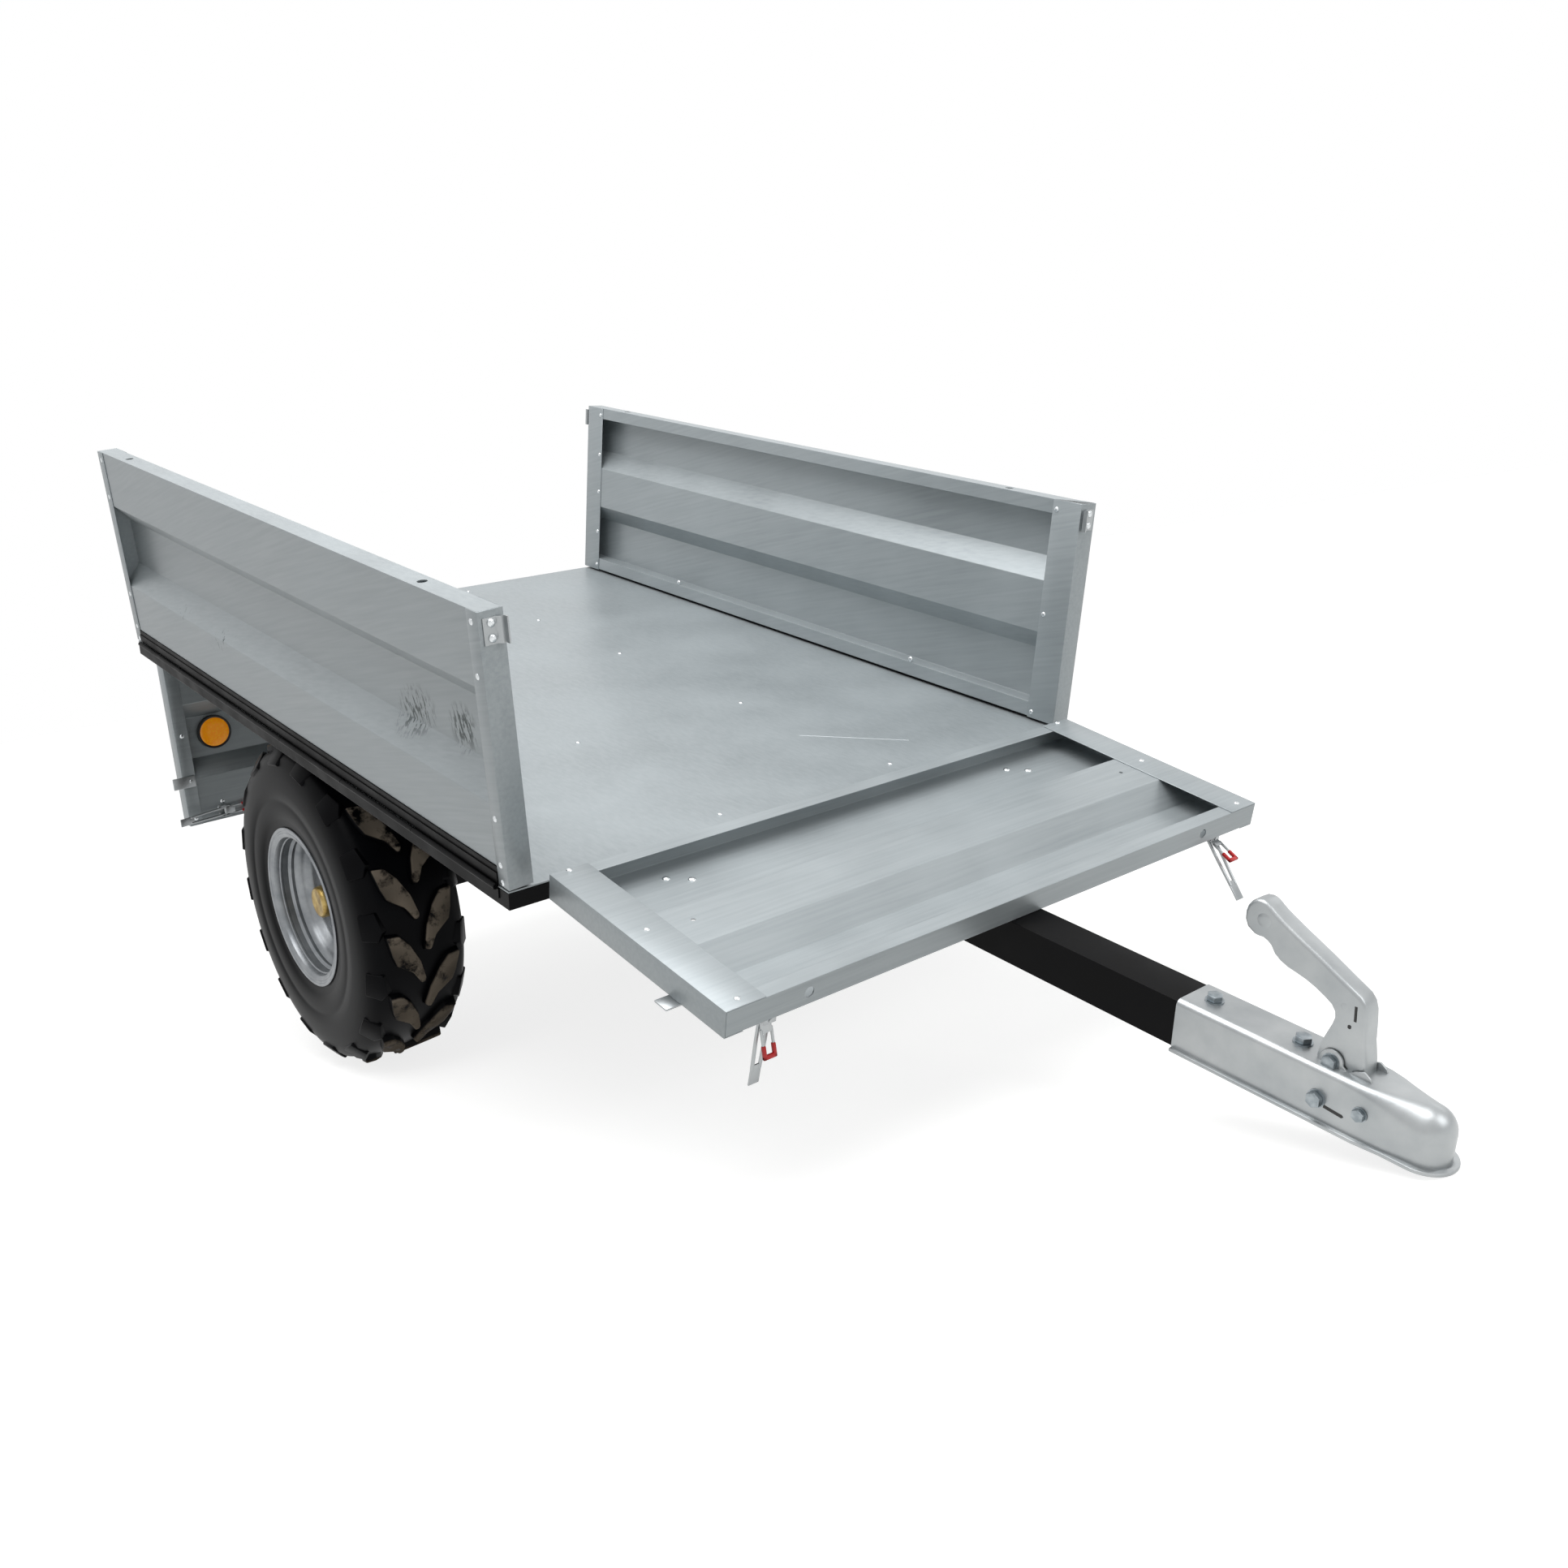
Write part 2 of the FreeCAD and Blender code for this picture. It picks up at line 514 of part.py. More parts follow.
# Coupler handle: a pressed channel, open on its inner side, as far behind and above its pivot as listed
handle_edge = [
    ("-handle_toe", "handle_toe / 4"),
    ("-handle_toe * 0.89", "handle_rise"),
    ("-handle_toe * 0.73", "handle_rise * 1.17"),
    ("-handle_toe / 5", "handle_rise * 1.36"),
    ("handle_reach * 0.46", "handle_rise * 1.72"),
    ("handle_reach * 0.8", "handle_rise * 1.84"),
    ("handle_reach", "handle_rise * 1.77"),
    ("handle_reach * 1.16", "handle_rise * 1.47"),
    ("handle_reach * 1.07", "handle_rise * 1.31"),
    ("handle_reach * 0.8", "handle_rise * 1.2"),
    ("handle_reach * 0.36", "handle_rise"),
    ("handle_reach * 0.14", "handle_rise * 0.89"),
    ("handle_reach * 0.05", "handle_rise * 0.7"),
    ("handle_reach * 0.04", "handle_rise * 0.54"),
    ("handle_reach * 0.13", "handle_rise * 0.3"),
    ("handle_reach * 0.17", "0"),
    ("handle_reach * 0.13", "-handle_toe / 5"),
    ("-handle_toe * 0.89", "-handle_toe / 5"),
]
handle_hollow = [
    ("-handle_toe + handle_wall", "-handle_toe"),
    ("-handle_toe * 0.89 + handle_wall", "handle_rise"),
    ("-handle_toe * 0.73 + handle_wall", "handle_rise * 1.17 - handle_wall / 2"),
    ("-handle_toe / 5", "handle_rise * 1.36 - handle_wall"),
    ("handle_reach * 0.46", "handle_rise * 1.72 - handle_wall"),
    ("handle_reach * 0.8", "handle_rise * 1.84 - handle_wall"),
    ("handle_reach * 0.9", "handle_rise"),
    ("handle_reach * 0.3", "handle_rise * 0.7"),
    ("handle_reach * 0.3", "-handle_toe"),
]


# A handle outline moved to the pivot's place
def at_pivot(points):
    return [(f"-handle_pivot_y + {back}", f"-handle_pivot_drop + {up}") for back, up in points]


handle_solid = drawn("handle", "YZ_Plane", at_pivot(handle_edge), "handle_width", "-handle_width / 2")
handle_inside = drawn("handle_inside", "YZ_Plane", at_pivot(handle_hollow),
                      "handle_width - 2 * handle_wall", "-handle_width / 2 + handle_wall")
piece("coupler_handle", "chassis", cut(handle_solid, handle_inside, pin_hole))

handle_rod = rod("x", handle_line, (f"-({ear_outer}) - pin_end / 2", f"{ear_outer} + pin_end / 2"), "handle_pin / 2")
piece("coupler_pins", "chassis", handle_rod)

# Bed: folded frame, open inward, with cross members between its rails and the floor sheet on top
half_width = "bed_width / 2"
frame_x = ("-bed_width / 2", "bed_width / 2")
frame_y = ("floor_margin", "bed_length - floor_margin")
frame_z = (frame_bottom, "-floor_wall")
channel = box(
    ("-bed_width / 2 + frame_wall", "bed_width / 2 - frame_wall"),
    ("floor_margin + frame_wall", "bed_length - floor_margin - frame_wall"),
    (f"{frame_bottom} + frame_wall", "-floor_wall - frame_wall"),
)
inside_x = ("-bed_width / 2 + frame_width", "bed_width / 2 - frame_width")
inside_y = ("floor_margin + frame_width", "bed_length - floor_margin - frame_width")
opening = box(inside_x, inside_y, (f"{frame_bottom} - 1", "0"))
piece("bed_frame", "bed", cut(box(frame_x, frame_y, frame_z), channel, opening))

first_member = "floor_margin + frame_width + cross_width / 2"
member_places = [
    first_member,
    f"{first_member} + member_step",
    f"{first_member} + 2 * member_step",
    "pivot_y + rear_member_gap",
    f"bed_length - ({first_member})",
]
members = []
for place in member_places:
    member_y = (f"{place} - cross_width / 2", f"{place} + cross_width / 2")
    members.append(square_tube(inside_x, member_y, frame_z, "floor_wall", "x"))
piece("bed_cross_members", "bed", *members)

beams = []
beam_z = (f"{frame_bottom} - beam_height", frame_bottom)
for way in ("1", "-1"):
    beam_span = (f"{way} * beam_x - beam_width / 2", f"{way} * beam_x + beam_width / 2")
    beams.append(square_tube(beam_span, inside_y, beam_z, "frame_wall", "y"))
piece("bed_beams", "bed", *beams)
piece("bed_floor", "bed", box(frame_x, frame_y, ("-floor_wall", "0")))

# Tipping lugs on both sides of each beam, round the pivot pin
lugs = []
pin_way = rod("x", pivot_line, frame_x, "pivot_pin / 2 + pin_clearance")
for way in ("1", "-1"):
    for start, end in (("-beam_width / 2 - tip_lug_wall", "-beam_width / 2"),
                       ("beam_width / 2", "beam_width / 2 + tip_lug_wall")):
        lug_span = (f"{way} * beam_x + {start}", f"{way} * beam_x + {end}")
        plate_y = ("pivot_y - tip_lug_radius", "pivot_y + tip_lug_radius")
        plate = fuse(
            box(lug_span, plate_y, ("-pivot_drop", frame_bottom)),
            rod("x", pivot_line, lug_span, "tip_lug_radius"),
        )
        lugs.append(cut(plate, pin_way))
piece("tip_lugs", "bed", *lugs)

# Catch for the tipping latch: a tongue under the front cross member
tongue_x = ("bar_size / 2 + catch_gap", "bar_size / 2 + catch_gap + catch_wall")
tongue_y = ("catch_y - bracket_width / 2", "catch_y + bracket_width / 2")
tongue = box(tongue_x, tongue_y, ("-catch_drop - catch_pin", frame_bottom))
piece("tip_catch", "bed", cut(tongue, rod("x", catch_line, frame_x, "catch_pin / 2 + seat_gap")))

# Lugs and pins of one gate's two hinges
gate_axis = ("-gate_axis_out", "-gate_axis_drop")
lug_round = "hinge_barrel / 2 + lug_edge"
hinge_parts = []
for way in ("1", "-1"):
    for start in ("-strap_width / 2 - hinge_side_gap - lug_wall", "strap_width / 2 + hinge_side_gap"):
        lug_span = (f"{way} * strap_x + {start}", f"{way} * strap_x + {start} + lug_wall")
        tip = fuse(
            rod("x", gate_axis, lug_span, lug_round, "barrel_sides"),
            box(lug_span, ("-gate_axis_out", "floor_margin"),
                (f"-gate_axis_drop - ({lug_round})", f"-gate_axis_drop + {lug_round}")),
        )
        hinge_parts.append(tip)
    pin_span = "strap_width / 2 + hinge_side_gap + lug_wall + pin_end / 2"
    hinge_parts.append(rod("x", gate_axis, (f"{way} * strap_x - ({pin_span})", f"{way} * strap_x + {pin_span}"),
                           "hinge_pin / 2"))
one_side = fuse(*hinge_parts)
piece("gate_hinge_lugs", "bed", one_side, again(other_end, one_side))

# Long side hinges: knuckles taken in turn by the bed, which carries the pin, and by the side board
side_line_x = "bed_width / 2 + side_axis_out"
knuckle_pitch = f"((bed_length - 2 * cap_outer_flange) / knuckle_count)"
leaf_x = (half_width, f"{half_width} + leaf_wall")


def hinge_leaf(first, leaf_z, reach_z):
    shapes = [box(leaf_x, ("cap_outer_flange", "bed_length - cap_outer_flange"), leaf_z)]
    for number in range(first, int(size.knuckle_count), 2):
        span = (
            f"cap_outer_flange + {number} * {knuckle_pitch} + knuckle_gap / 2",
            f"cap_outer_flange + {number + 1} * {knuckle_pitch} - knuckle_gap / 2",
        )
        shapes.append(box(leaf_x, span, reach_z))
        shapes.append(rod("y", (side_line_x, "0"), span, "knuckle_diameter / 2", "barrel_sides"))
    return fuse(*shapes)


side_bore = rod("y", (side_line_x, "0"), ("0", "bed_length"), "side_pin / 2 + pin_clearance")
leaf_clear = "knuckle_diameter / 2 + knuckle_gap / 2"
side_rod = rod("y", (side_line_x, "0"), ("cap_outer_flange", "bed_length - cap_outer_flange"), "side_pin / 2")
lower_leaf = hinge_leaf(0, (f"-{leaf_clear} - leaf_height + knuckle_diameter / 2", f"-({leaf_clear})"),
                        (f"-({leaf_clear})", "-knuckle_gap"))
bed_leaf = fuse(lower_leaf, side_rod)
piece("side_hinge_leaves", "bed", bed_leaf, again(other_end, bed_leaf))


# The ribbed section of a board: depth from its outer face and height above its bottom
def ribbed(top, bottom):
    near = size.cap_wall + size.sheet_wall / 2
    far = size.board_thickness - near
    rise = [size.rib_foot]
    rise.append(rise[0] + size.rib_slope)
    rise.append(rise[1] + size.rib_crown)
    rise.append(rise[2] + size.rib_slope)
    section = [(far, bottom[0]), (far, bottom[1]), (near, bottom[1]), (near, rise[0]), (far, rise[1])]
    section += [(far, rise[2]), (near, rise[3]), (near, top), (far, top), (far, top - size.board_lip)]
    return section


half_sheet = size.sheet_wall / 2
side_top = size.seam_gap + size.side_height - half_sheet
side_section = ribbed(
    side_top - size.seam_gap,
    (size.sheet_wall, size.side_rail_height + half_sheet),
)
side_points = [(size.bed_width / 2 - depth, size.seam_gap + height) for depth, height in side_section]
side_ends = (size.cap_wall, size.bed_length - size.cap_wall)
board_middle = "bed_width / 2 - board_thickness / 2"


# A side board's sheet with its post holes at these distances from its own two ends
def holed_sheet(first, second):
    holes = [
        rod("z", (board_middle, place), ("side_height - board_lip", "side_height + board_lip"), "post_hole / 2")
        for place in (first, f"bed_length - {second}")
    ]
    return cut(folded(side_points, size.sheet_wall, "y", side_ends), *holes)


side_sheets = {
    "left": holed_sheet("front_post_inset", "rear_post_inset"),
    "right": holed_sheet("rear_post_inset", "front_post_inset"),
}

rail_x = ("bed_width / 2 - board_thickness + cap_wall + sheet_wall", half_width)
rail_y = ("cap_outer_flange", "bed_length - cap_outer_flange")
rail_z = ("seam_gap", "seam_gap + side_rail_height")
leaf_top = f"{leaf_clear} + leaf_height - knuckle_diameter / 2"
board_leaf = hinge_leaf(1, (leaf_clear, leaf_top), ("knuckle_gap", leaf_clear))
side_rail = cut(fuse(square_tube(rail_x, rail_y, rail_z, "floor_wall", "y"), board_leaf), side_bore)

cap_z = ("seam_gap", "seam_gap + side_height")
inner_face = "bed_width / 2 - board_thickness"
side_cap = fuse(
    box((inner_face, half_width), ("0", "cap_wall"), cap_z),
    box((f"{half_width} - cap_wall", half_width), ("0", "cap_outer_flange"), cap_z),
    box((inner_face, f"{inner_face} + cap_wall"), ("0", "cap_inner_flange"), cap_z),
)
opposite = add("Part::Mirroring", "opposite_cap")
opposite.Source = side_cap
opposite.Normal = Vector(0, 1, 0)
opposite.setExpression("Base.y", bound("bed_length / 2"))

# Keepers for the toggle latches: joggled strips on the boards' end faces, curled out at the gate
keeper_bend = size.bed_width / 2 - size.keeper_joggle
keeper_rest = keeper_bend - size.keeper_run
keeper_points = [
    (size.bed_width / 2 - size.keeper_start, -size.keeper_wall / 2),
    (keeper_bend, -size.keeper_wall / 2),
    (keeper_rest, -size.keeper_rise),
    (keeper_rest - size.keeper_seat, -size.keeper_rise),
    (keeper_rest - size.keeper_seat, -size.keeper_rise - size.keeper_curl),
]
keeper_middle = size.seam_gap + size.keeper_height
keeper_ends = (keeper_middle - size.keeper_width / 2, keeper_middle + size.keeper_width / 2)
keeper = folded(keeper_points, size.keeper_wall, "z", keeper_ends)
rear_keeper = add("Part::Mirroring", "rear_keeper")
rear_keeper.Source = keeper
rear_keeper.Normal = Vector(0, 1, 0)
rear_keeper.setExpression("Base.y", bound("bed_length / 2"))

for side in ("left", "right"):
    group = f"side_{side}"
    place = Placement() if side == "left" else other_end
    piece(f"side_sheet_{side}", group, again(place, side_sheets[side]))
    piece(f"side_rail_{side}", group, again(place, side_rail))
    piece(f"side_caps_{side}", group, again(place, side_cap, opposite))
    piece(f"side_keepers_{side}", group, again(place, keeper, rear_keeper))

# Gates, modelled closed at the front
gate_section = ribbed(size.gate_height - half_sheet, (size.gate_bottom_lip, half_sheet))
gate_points = [
    (depth - size.gate_face_offset, size.gate_floor_gap + height) for depth, height in gate_section
]
gate_ends = (size.cap_wall - size.gate_half, size.gate_half - size.cap_wall)
gate_middle = "board_thickness / 2 - gate_face_offset"
gate_top = ("gate_floor_gap + gate_height - board_lip", "gate_floor_gap + gate_height + board_lip")
reflector_z = "gate_floor_gap + rib_foot + rib_slope + reflector_margin + reflector_diameter / 2"
gate_holes = []
for way in ("1", "-1"):
    across = f"{way} * (gate_half - gate_post_inset)"
    gate_holes.append(rod("z", (across, gate_middle), gate_top, "post_hole / 2"))
    gate_holes.append(rod("y", (f"{way} * reflector_x", reflector_z), ("0", "board_thickness"),
                          "reflector_hole / 2"))
gate_sheet = cut(folded(gate_points, size.sheet_wall, "x", gate_ends), *gate_holes)

gate_z = ("gate_floor_gap", "gate_floor_gap + gate_height")
outer_y = "-gate_face_offset"
inner_y = "board_thickness - gate_face_offset"
gate_cap = fuse(
    box(("gate_half - cap_wall", "gate_half"), (outer_y, inner_y), gate_z),
    box(("gate_half - cap_outer_flange", "gate_half"), (outer_y, f"{outer_y} + cap_wall"), gate_z),
    box(("gate_half - cap_inner_flange", "gate_half"), (f"{inner_y} - cap_wall", inner_y), gate_z),
)
other_cap = add("Part::Mirroring", "other_cap")
other_cap.Source = gate_cap
other_cap.Normal = Vector(1, 0, 0)

strap_bore = rod("x", gate_axis, frame_x, "hinge_pin / 2 + pin_clearance")
strap_face = f"{outer_y} + cap_wall"
straps = []
for way in ("1", "-1"):
    strap_span = (f"{way} * strap_x - strap_width / 2", f"{way} * strap_x + strap_width / 2")
    strap = fuse(
        box(strap_span, (f"{strap_face} - strap_wall", strap_face),
            ("-gate_axis_drop", "gate_floor_gap + strap_length")),
        rod("x", gate_axis, strap_span, "hinge_barrel / 2", "barrel_sides"),
    )
    straps.append(cut(strap, strap_bore))

# Toggle latches: a base that carries a lever and a wire bail with a hooked end
tab_z = "gate_floor_gap + tab_height"
latch_face = size.cap_wall - size.gate_face_offset
latch_place = Vector(
    size.gate_half - size.latch_inset - size.latch_base / 2,
    latch_face - size.latch_lift,
    size.gate_floor_gap + size.gate_height - size.latch_drop,
)


# One latch round its pivot, its two arms turned about the gate's upright, its bail leaned
def latch(lever_turn, bail_turn, roll, lean):
    lever = box(
        ("-lever_width / 2", "lever_width / 2"), ("-lever_length", "lever_wall / 2"),
        ("-lever_wall / 2", "lever_wall / 2"),
    )
    bail = [
        rod("y", (f"{way} * bail_width / 2", "0"), ("-bail_length", "0"), "latch_wire / 2", "wire_sides")
        for way in (1, -1)
    ]
    bail.append(box(
        ("-bail_width / 2 - latch_wire / 2", "bail_width / 2 + latch_wire / 2"),
        ("-bail_length - latch_wire / 2", "-bail_length + latch_base / 2"),
        ("-latch_wire / 2", "latch_wire / 2"),
    ))
    base = box(
        ("-latch_base / 2", "latch_base / 2"), ("-latch_wire", "latch_lift"),
        ("-latch_width / 2", "latch_width / 2"),
    )
    upright, across_gate, outward = Vector(0, 0, 1), Vector(1, 0, 0), Vector(0, 1, 0)
    lever_way = Rotation(upright, lever_turn) * Rotation(outward, roll)
    bail_way = Rotation(upright, bail_turn) * Rotation(outward, roll) * Rotation(across_gate, lean)
    if not roll:
        lever_way = Rotation(across_gate, lean - size.lever_spread)
    return fuse(base, again(Placement(Vector(), lever_way), lever), again(Placement(Vector(), bail_way), *bail))


def latches(lever_out):
    shapes = []
    for way, lean in ((1, size.left_bail_lean), (-1, size.right_bail_lean)):
        place = Vector(way * latch_place.x, latch_place.y, latch_place.z)
        arms = (0, 0, 0, -lean) if lever_out else (-way * 90, way * (90 - size.bail_off), 90, 0)
        shapes.append(again(Placement(place, Rotation()), latch(*arms)))
        tab_x = [f"{way} * (gate_half - tab_seat)", f"{way} * (gate_half + tab_reach)"][::way]
        shapes.append(box(tab_x, (f"{outer_y} - strap_wall", outer_y),
                          (f"{tab_z} - latch_width / 2", f"{tab_z} + latch_width / 2")))
    return shapes


for end, lever_out in (("front", True), ("rear", False)):
    group = f"{end}_gate"
    place = Placement() if end == "front" else other_end
    piece(f"{end}_gate_sheet", group, again(place, gate_sheet))
    piece(f"{end}_gate_caps", group, again(place, gate_cap, other_cap))
    piece(f"{end}_gate_straps", group, again(place, *straps))
    piece(f"{end}_gate_latches", group, again(place, *latches(lever_out)))

crown_face = "board_thickness - gate_face_offset - cap_wall - sheet_wall"
reflectors = [
    rod("y", (f"{way} * reflector_x", reflector_z), (f"{crown_face} - reflector_depth", crown_face),
        "reflector_diameter / 2")
    for way in ("1", "-1")
]
piece("rear_gate_reflectors", "rear_gate", again(other_end, *reflectors))

# Wheels, modelled round the X axis with their outer side at +X


# A solid with flat sides turned about the X axis, from a ring of axial place and radius
def many_sided(points):
    count = int(size.round_sides)
    spots = [(value(first), value(second)) for first, second in points]
    turned_spots = []
    for number in range(count):
        angle = 2 * math.pi * number / count
        turned_spots.append([Vector(x, -r * math.sin(angle), r * math.cos(angle)) for x, r in spots])
    faces = []
    for number, ring in enumerate(turned_spots):
        following_ring = turned_spots[(number + 1) % count]
        for first in range(len(spots)):
            second = (first + 1) % len(spots)
            corners = [ring[first], ring[second], following_ring[second], following_ring[first]]
            faces.append(Part.Face(Part.makePolygon(corners + corners[:1])))
    solid = Part.Solid(Part.Shell(faces))
    if solid.Volume < 0:
        solid.reverse()
    feature = add("Part::Feature", "many_sided")
    feature.Shape = solid
    return feature


flange_x = "(rim_width / 2)"
seat_end = "(rim_width / 2 - rim_wall)"
disc_face = "rim_width / 2 - disc_inset"
well_end = f"{disc_face} + disc_wall + seat_gap"
rim = many_sided([
    (f"-{flange_x}", "rim_radius"), (f"-{seat_end}", "rim_radius"), (f"-{seat_end}", "bead_radius"),
    (f"-{flange_x} + hump_width", "bead_radius"), ("-well_half", "well_radius"),
    (well_end, "well_radius"), ("well_half", "bead_radius"),
    (seat_end, "bead_radius"), (seat_end, "rim_radius"), (flange_x, "rim_radius"),
    (flange_x, "bead_radius - rim_wall"), ("well_half + rim_wall / 2", "bead_radius - rim_wall"),
    (well_end, "well_radius - rim_wall"),
    ("-well_half - rim_wall / 2", "well_radius - rim_wall"),
    (f"-{flange_x} + hump_width - rim_wall / 2", "bead_radius - rim_wall"),
    (f"-{flange_x}", "bead_radius - rim_wall"),
])
wheel_line_x = ("0", "0")
disc = cut(
    rod("x", wheel_line_x, (disc_face, f"{disc_face} + disc_wall"), "well_radius - rim_wall / 2", "round_sides"),
    rod("x", wheel_line_x, ("0", "rim_width"), "hub_diameter / 2 + seat_gap", "round_sides"),
)
hub = cut(
    fuse(
        rod("x", wheel_line_x, ("-hub_inner_end", f"{disc_face} + disc_wall"), "hub_diameter / 2", "round_sides"),
        rod("x", wheel_line_x, (f"{disc_face} - hub_flange_wall", disc_face), "hub_flange / 2", "round_sides"),
    ),
    rod("x", wheel_line_x, ("-rim_width", "rim_width"), "spindle_diameter / 2 + pin_clearance"),
)
cap_span = (f"{disc_face} + disc_wall", "rim_width / 2 - cap_face_inset")
cap_hollow = (f"{cap_span[0]} - 1", f"{cap_span[1]} - cap_shell")
dust_cap = cut(
    rod("x", wheel_line_x, cap_span, "cap_diameter / 2", "round_sides"),
    rod("x", wheel_line_x, cap_hollow, "cap_diameter / 2 - cap_shell", "round_sides"),
)

# Tyre carcass, from half of its outline
outer_half = [
    (f"{seat_end} - seat_gap", "bead_radius + seat_gap"),
    (f"{seat_end} - seat_gap", "rim_radius"),
    ("tyre_width / 2", "rim_radius + (carcass_radius - rim_radius) * 0.45"),
    ("tyre_width * 0.47", "carcass_radius - shoulder_drop * 5"),
    ("tyre_width * 0.38", "carcass_radius - shoulder_drop"),
    ("tyre_width * 0.2", "carcass_radius"),
]
inner_half = [
    ("tyre_width * 0.38", "carcass_radius - shoulder_drop - tyre_wall"),
    (f"{seat_end} - tyre_wall", "bead_radius + seat_gap"),
]


def mirrored(points):
    return [(f"-({first})", second) for first, second in reversed(points)]


carcass = many_sided(outer_half + mirrored(outer_half) + mirrored(inner_half) + inner_half)

# Lug outlines: shares of half the tyre's width outwards, and of the pitch from lug to lug rolling forward
middle_lug = [(0.66, -0.41), (0.44, -0.39), (0.09, 0.06), (0.02, 0.34), (0.1, 0.41), (0.53, 0.05)]
shoulder_lug = [(0, 0.07), (0.1, -0.22), (0.44, -0.19), (0.44, 0.19), (0.13, 0.22)]
lug_pitch = 2 * math.pi * size.tyre_radius / size.lug_count


# A lug drawn out along the wheel's radius at the top of the wheel, leaned about its own inner edge
def lug(points, start_x, lean, drop):
    foot = size.carcass_radius - drop - size.lug_root
    corners = [
        Vector(start_x + outwards * size.tyre_width / 2, -ahead * lug_pitch, foot) for outwards, ahead in points
    ]
    face = Part.Face(Part.makePolygon(corners + corners[:1]))
    block = face.extrude(Vector(0, 0, size.lug_root + size.lug_height - size.lug_sag))
    block.rotate(Vector(start_x, 0, size.tyre_radius - size.lug_sag - drop), Vector(0, 1, 0), lean)
    return block


lugs_here = []
middle_block = lug(middle_lug, 0, size.crown_lean, 0)
shoulder_block = lug(shoulder_lug, size.shoulder_x, size.shoulder_lean, size.shoulder_drop)
step = 360 / size.lug_count
shift = math.degrees(size.shoulder_shift / size.tyre_radius)
wheel_axis = Vector(1, 0, 0)
for number in range(int(size.lug_count)):
    for block, ahead in ((middle_block, 0), (shoulder_block, shift)):
        for side_step, plane in ((0, None), (step / 2, wheel_axis)):
            copy = block.mirror(Vector(), plane) if plane else block.copy()
            copy.rotate(Vector(), wheel_axis, number * step + ahead + side_step)
            lugs_here.append(copy)
tyre = add("Part::Feature", "lugged_tyre")
tyre.Shape = carcass.Shape.multiFuse(lugs_here).removeSplitter()
other_tyre = add("Part::Mirroring", "other_tyre")
other_tyre.Source = tyre
other_tyre.Normal = Vector(1, 0, 0)
tyres = {"left": tyre, "right": other_tyre}
for side in ("left", "right"):
    group = f"wheel_{side}"
    facing = Placement() if side == "left" else Placement(Vector(), half_turn)
    piece(f"tyre_{side}", group, again(Placement(), tyres[side]))
    piece(f"rim_{side}", group, again(facing, fuse(rim, disc)))
    piece(f"hub_{side}", group, again(facing, hub))
    piece(f"dust_cap_{side}", group, again(facing, dust_cap))

doc.recompute()

# Poses: the folded front gate rests on the drawbar and the rear gate hangs with its foot to the front
nose = Vector(0, -size.coupler_ball_y - size.nose_radius, -size.bar_drop - size.bar_size - size.coupler_wall)
wheel_line = Vector(0, size.axle_y, -size.axle_drop)
reach = wheel_line - nose
slope_down = math.degrees(-math.atan2(reach.z, reach.y))
pitch = slope_down + math.degrees(math.asin(size.tyre_radius / reach.Length))

gate_reach = size.gate_axis_drop + size.gate_floor_gap + size.gate_height
gate_out = size.gate_axis_out - size.gate_face_offset + size.cap_wall
rest_depth = size.bar_drop - size.gate_axis_drop - size.seat_gap
fold = math.degrees(
    math.asin(rest_depth / math.hypot(gate_reach, gate_out)) + math.atan2(gate_out, gate_reach)
)
fold_angle = 90 + fold
hang_angle = 180 + size.rear_gate_lean


# A turn about a line through a point
def about(point, axis, angle):
    return Placement(point, Rotation(axis, angle)) * Placement(-point, Rotation())


across = Vector(1, 0, 0)
along = Vector(0, 1, 0)
front_axis = Vector(0, -size.gate_axis_out, -size.gate_axis_drop)
rear_axis = Vector(0, size.bed_length + size.gate_axis_out, -size.gate_axis_drop)
left_axis = Vector(size.bed_width / 2 + size.side_axis_out, size.bed_length / 2, 0)
right_axis = Vector(-left_axis.x, left_axis.y, 0)
wheel_place = Vector(size.wheel_x, size.axle_y, -size.axle_drop)
poses = {
    "chassis": Placement(),
    "bed": Placement(),
    "front_gate": about(front_axis, across, fold_angle),
    "rear_gate": about(rear_axis, across, -hang_angle),
    "side_left": about(left_axis, along, size.side_lean),
    "side_right": about(right_axis, along, -size.side_lean),
    "wheel_left": Placement(wheel_place, Rotation()),
    "wheel_right": Placement(Vector(-wheel_place.x, wheel_place.y, wheel_place.z), Rotation()),
}
nose_down = Placement(Vector(), Rotation(across, pitch))
for whole, group in nodes:
    whole.Placement = nose_down * poses[group]
doc.recompute()

# The origin is under the middle of the whole trailer, on the ground
points = [point for whole, group in nodes for point in whole.Shape.tessellate(0.1)[0]]
low = Vector(*(min(getattr(point, name) for point in points) for name in "xyz"))
high = Vector(*(max(getattr(point, name) for point in points) for name in "xyz"))
origin = Vector((low.x + high.x) / 2, (low.y + high.y) / 2, low.z)
parked = Placement(-origin, Rotation()) * nose_down
for whole, group in nodes:
    whole.Placement = parked * poses[group]
doc.recompute()
print("size", high - low, "pitch", pitch, "fold", fold_angle, "hang", hang_angle)

# Where the joints and mounts are as the trailer is parked
places = {
    "bed_tip": (Vector(0, size.pivot_y, -size.pivot_drop), -across),
    "front_gate": (front_axis, -across),
    "rear_gate": (rear_axis, across),
    "side_left": (left_axis, along),
    "side_right": (right_axis, -along),
    "wheel_left": (poses["wheel_left"].Base, across),
    "wheel_right": (poses["wheel_right"].Base, across),
    "ball": (Vector(0, -size.coupler_ball_y, -size.ball_drop), Vector(0, 0, -1)),
}
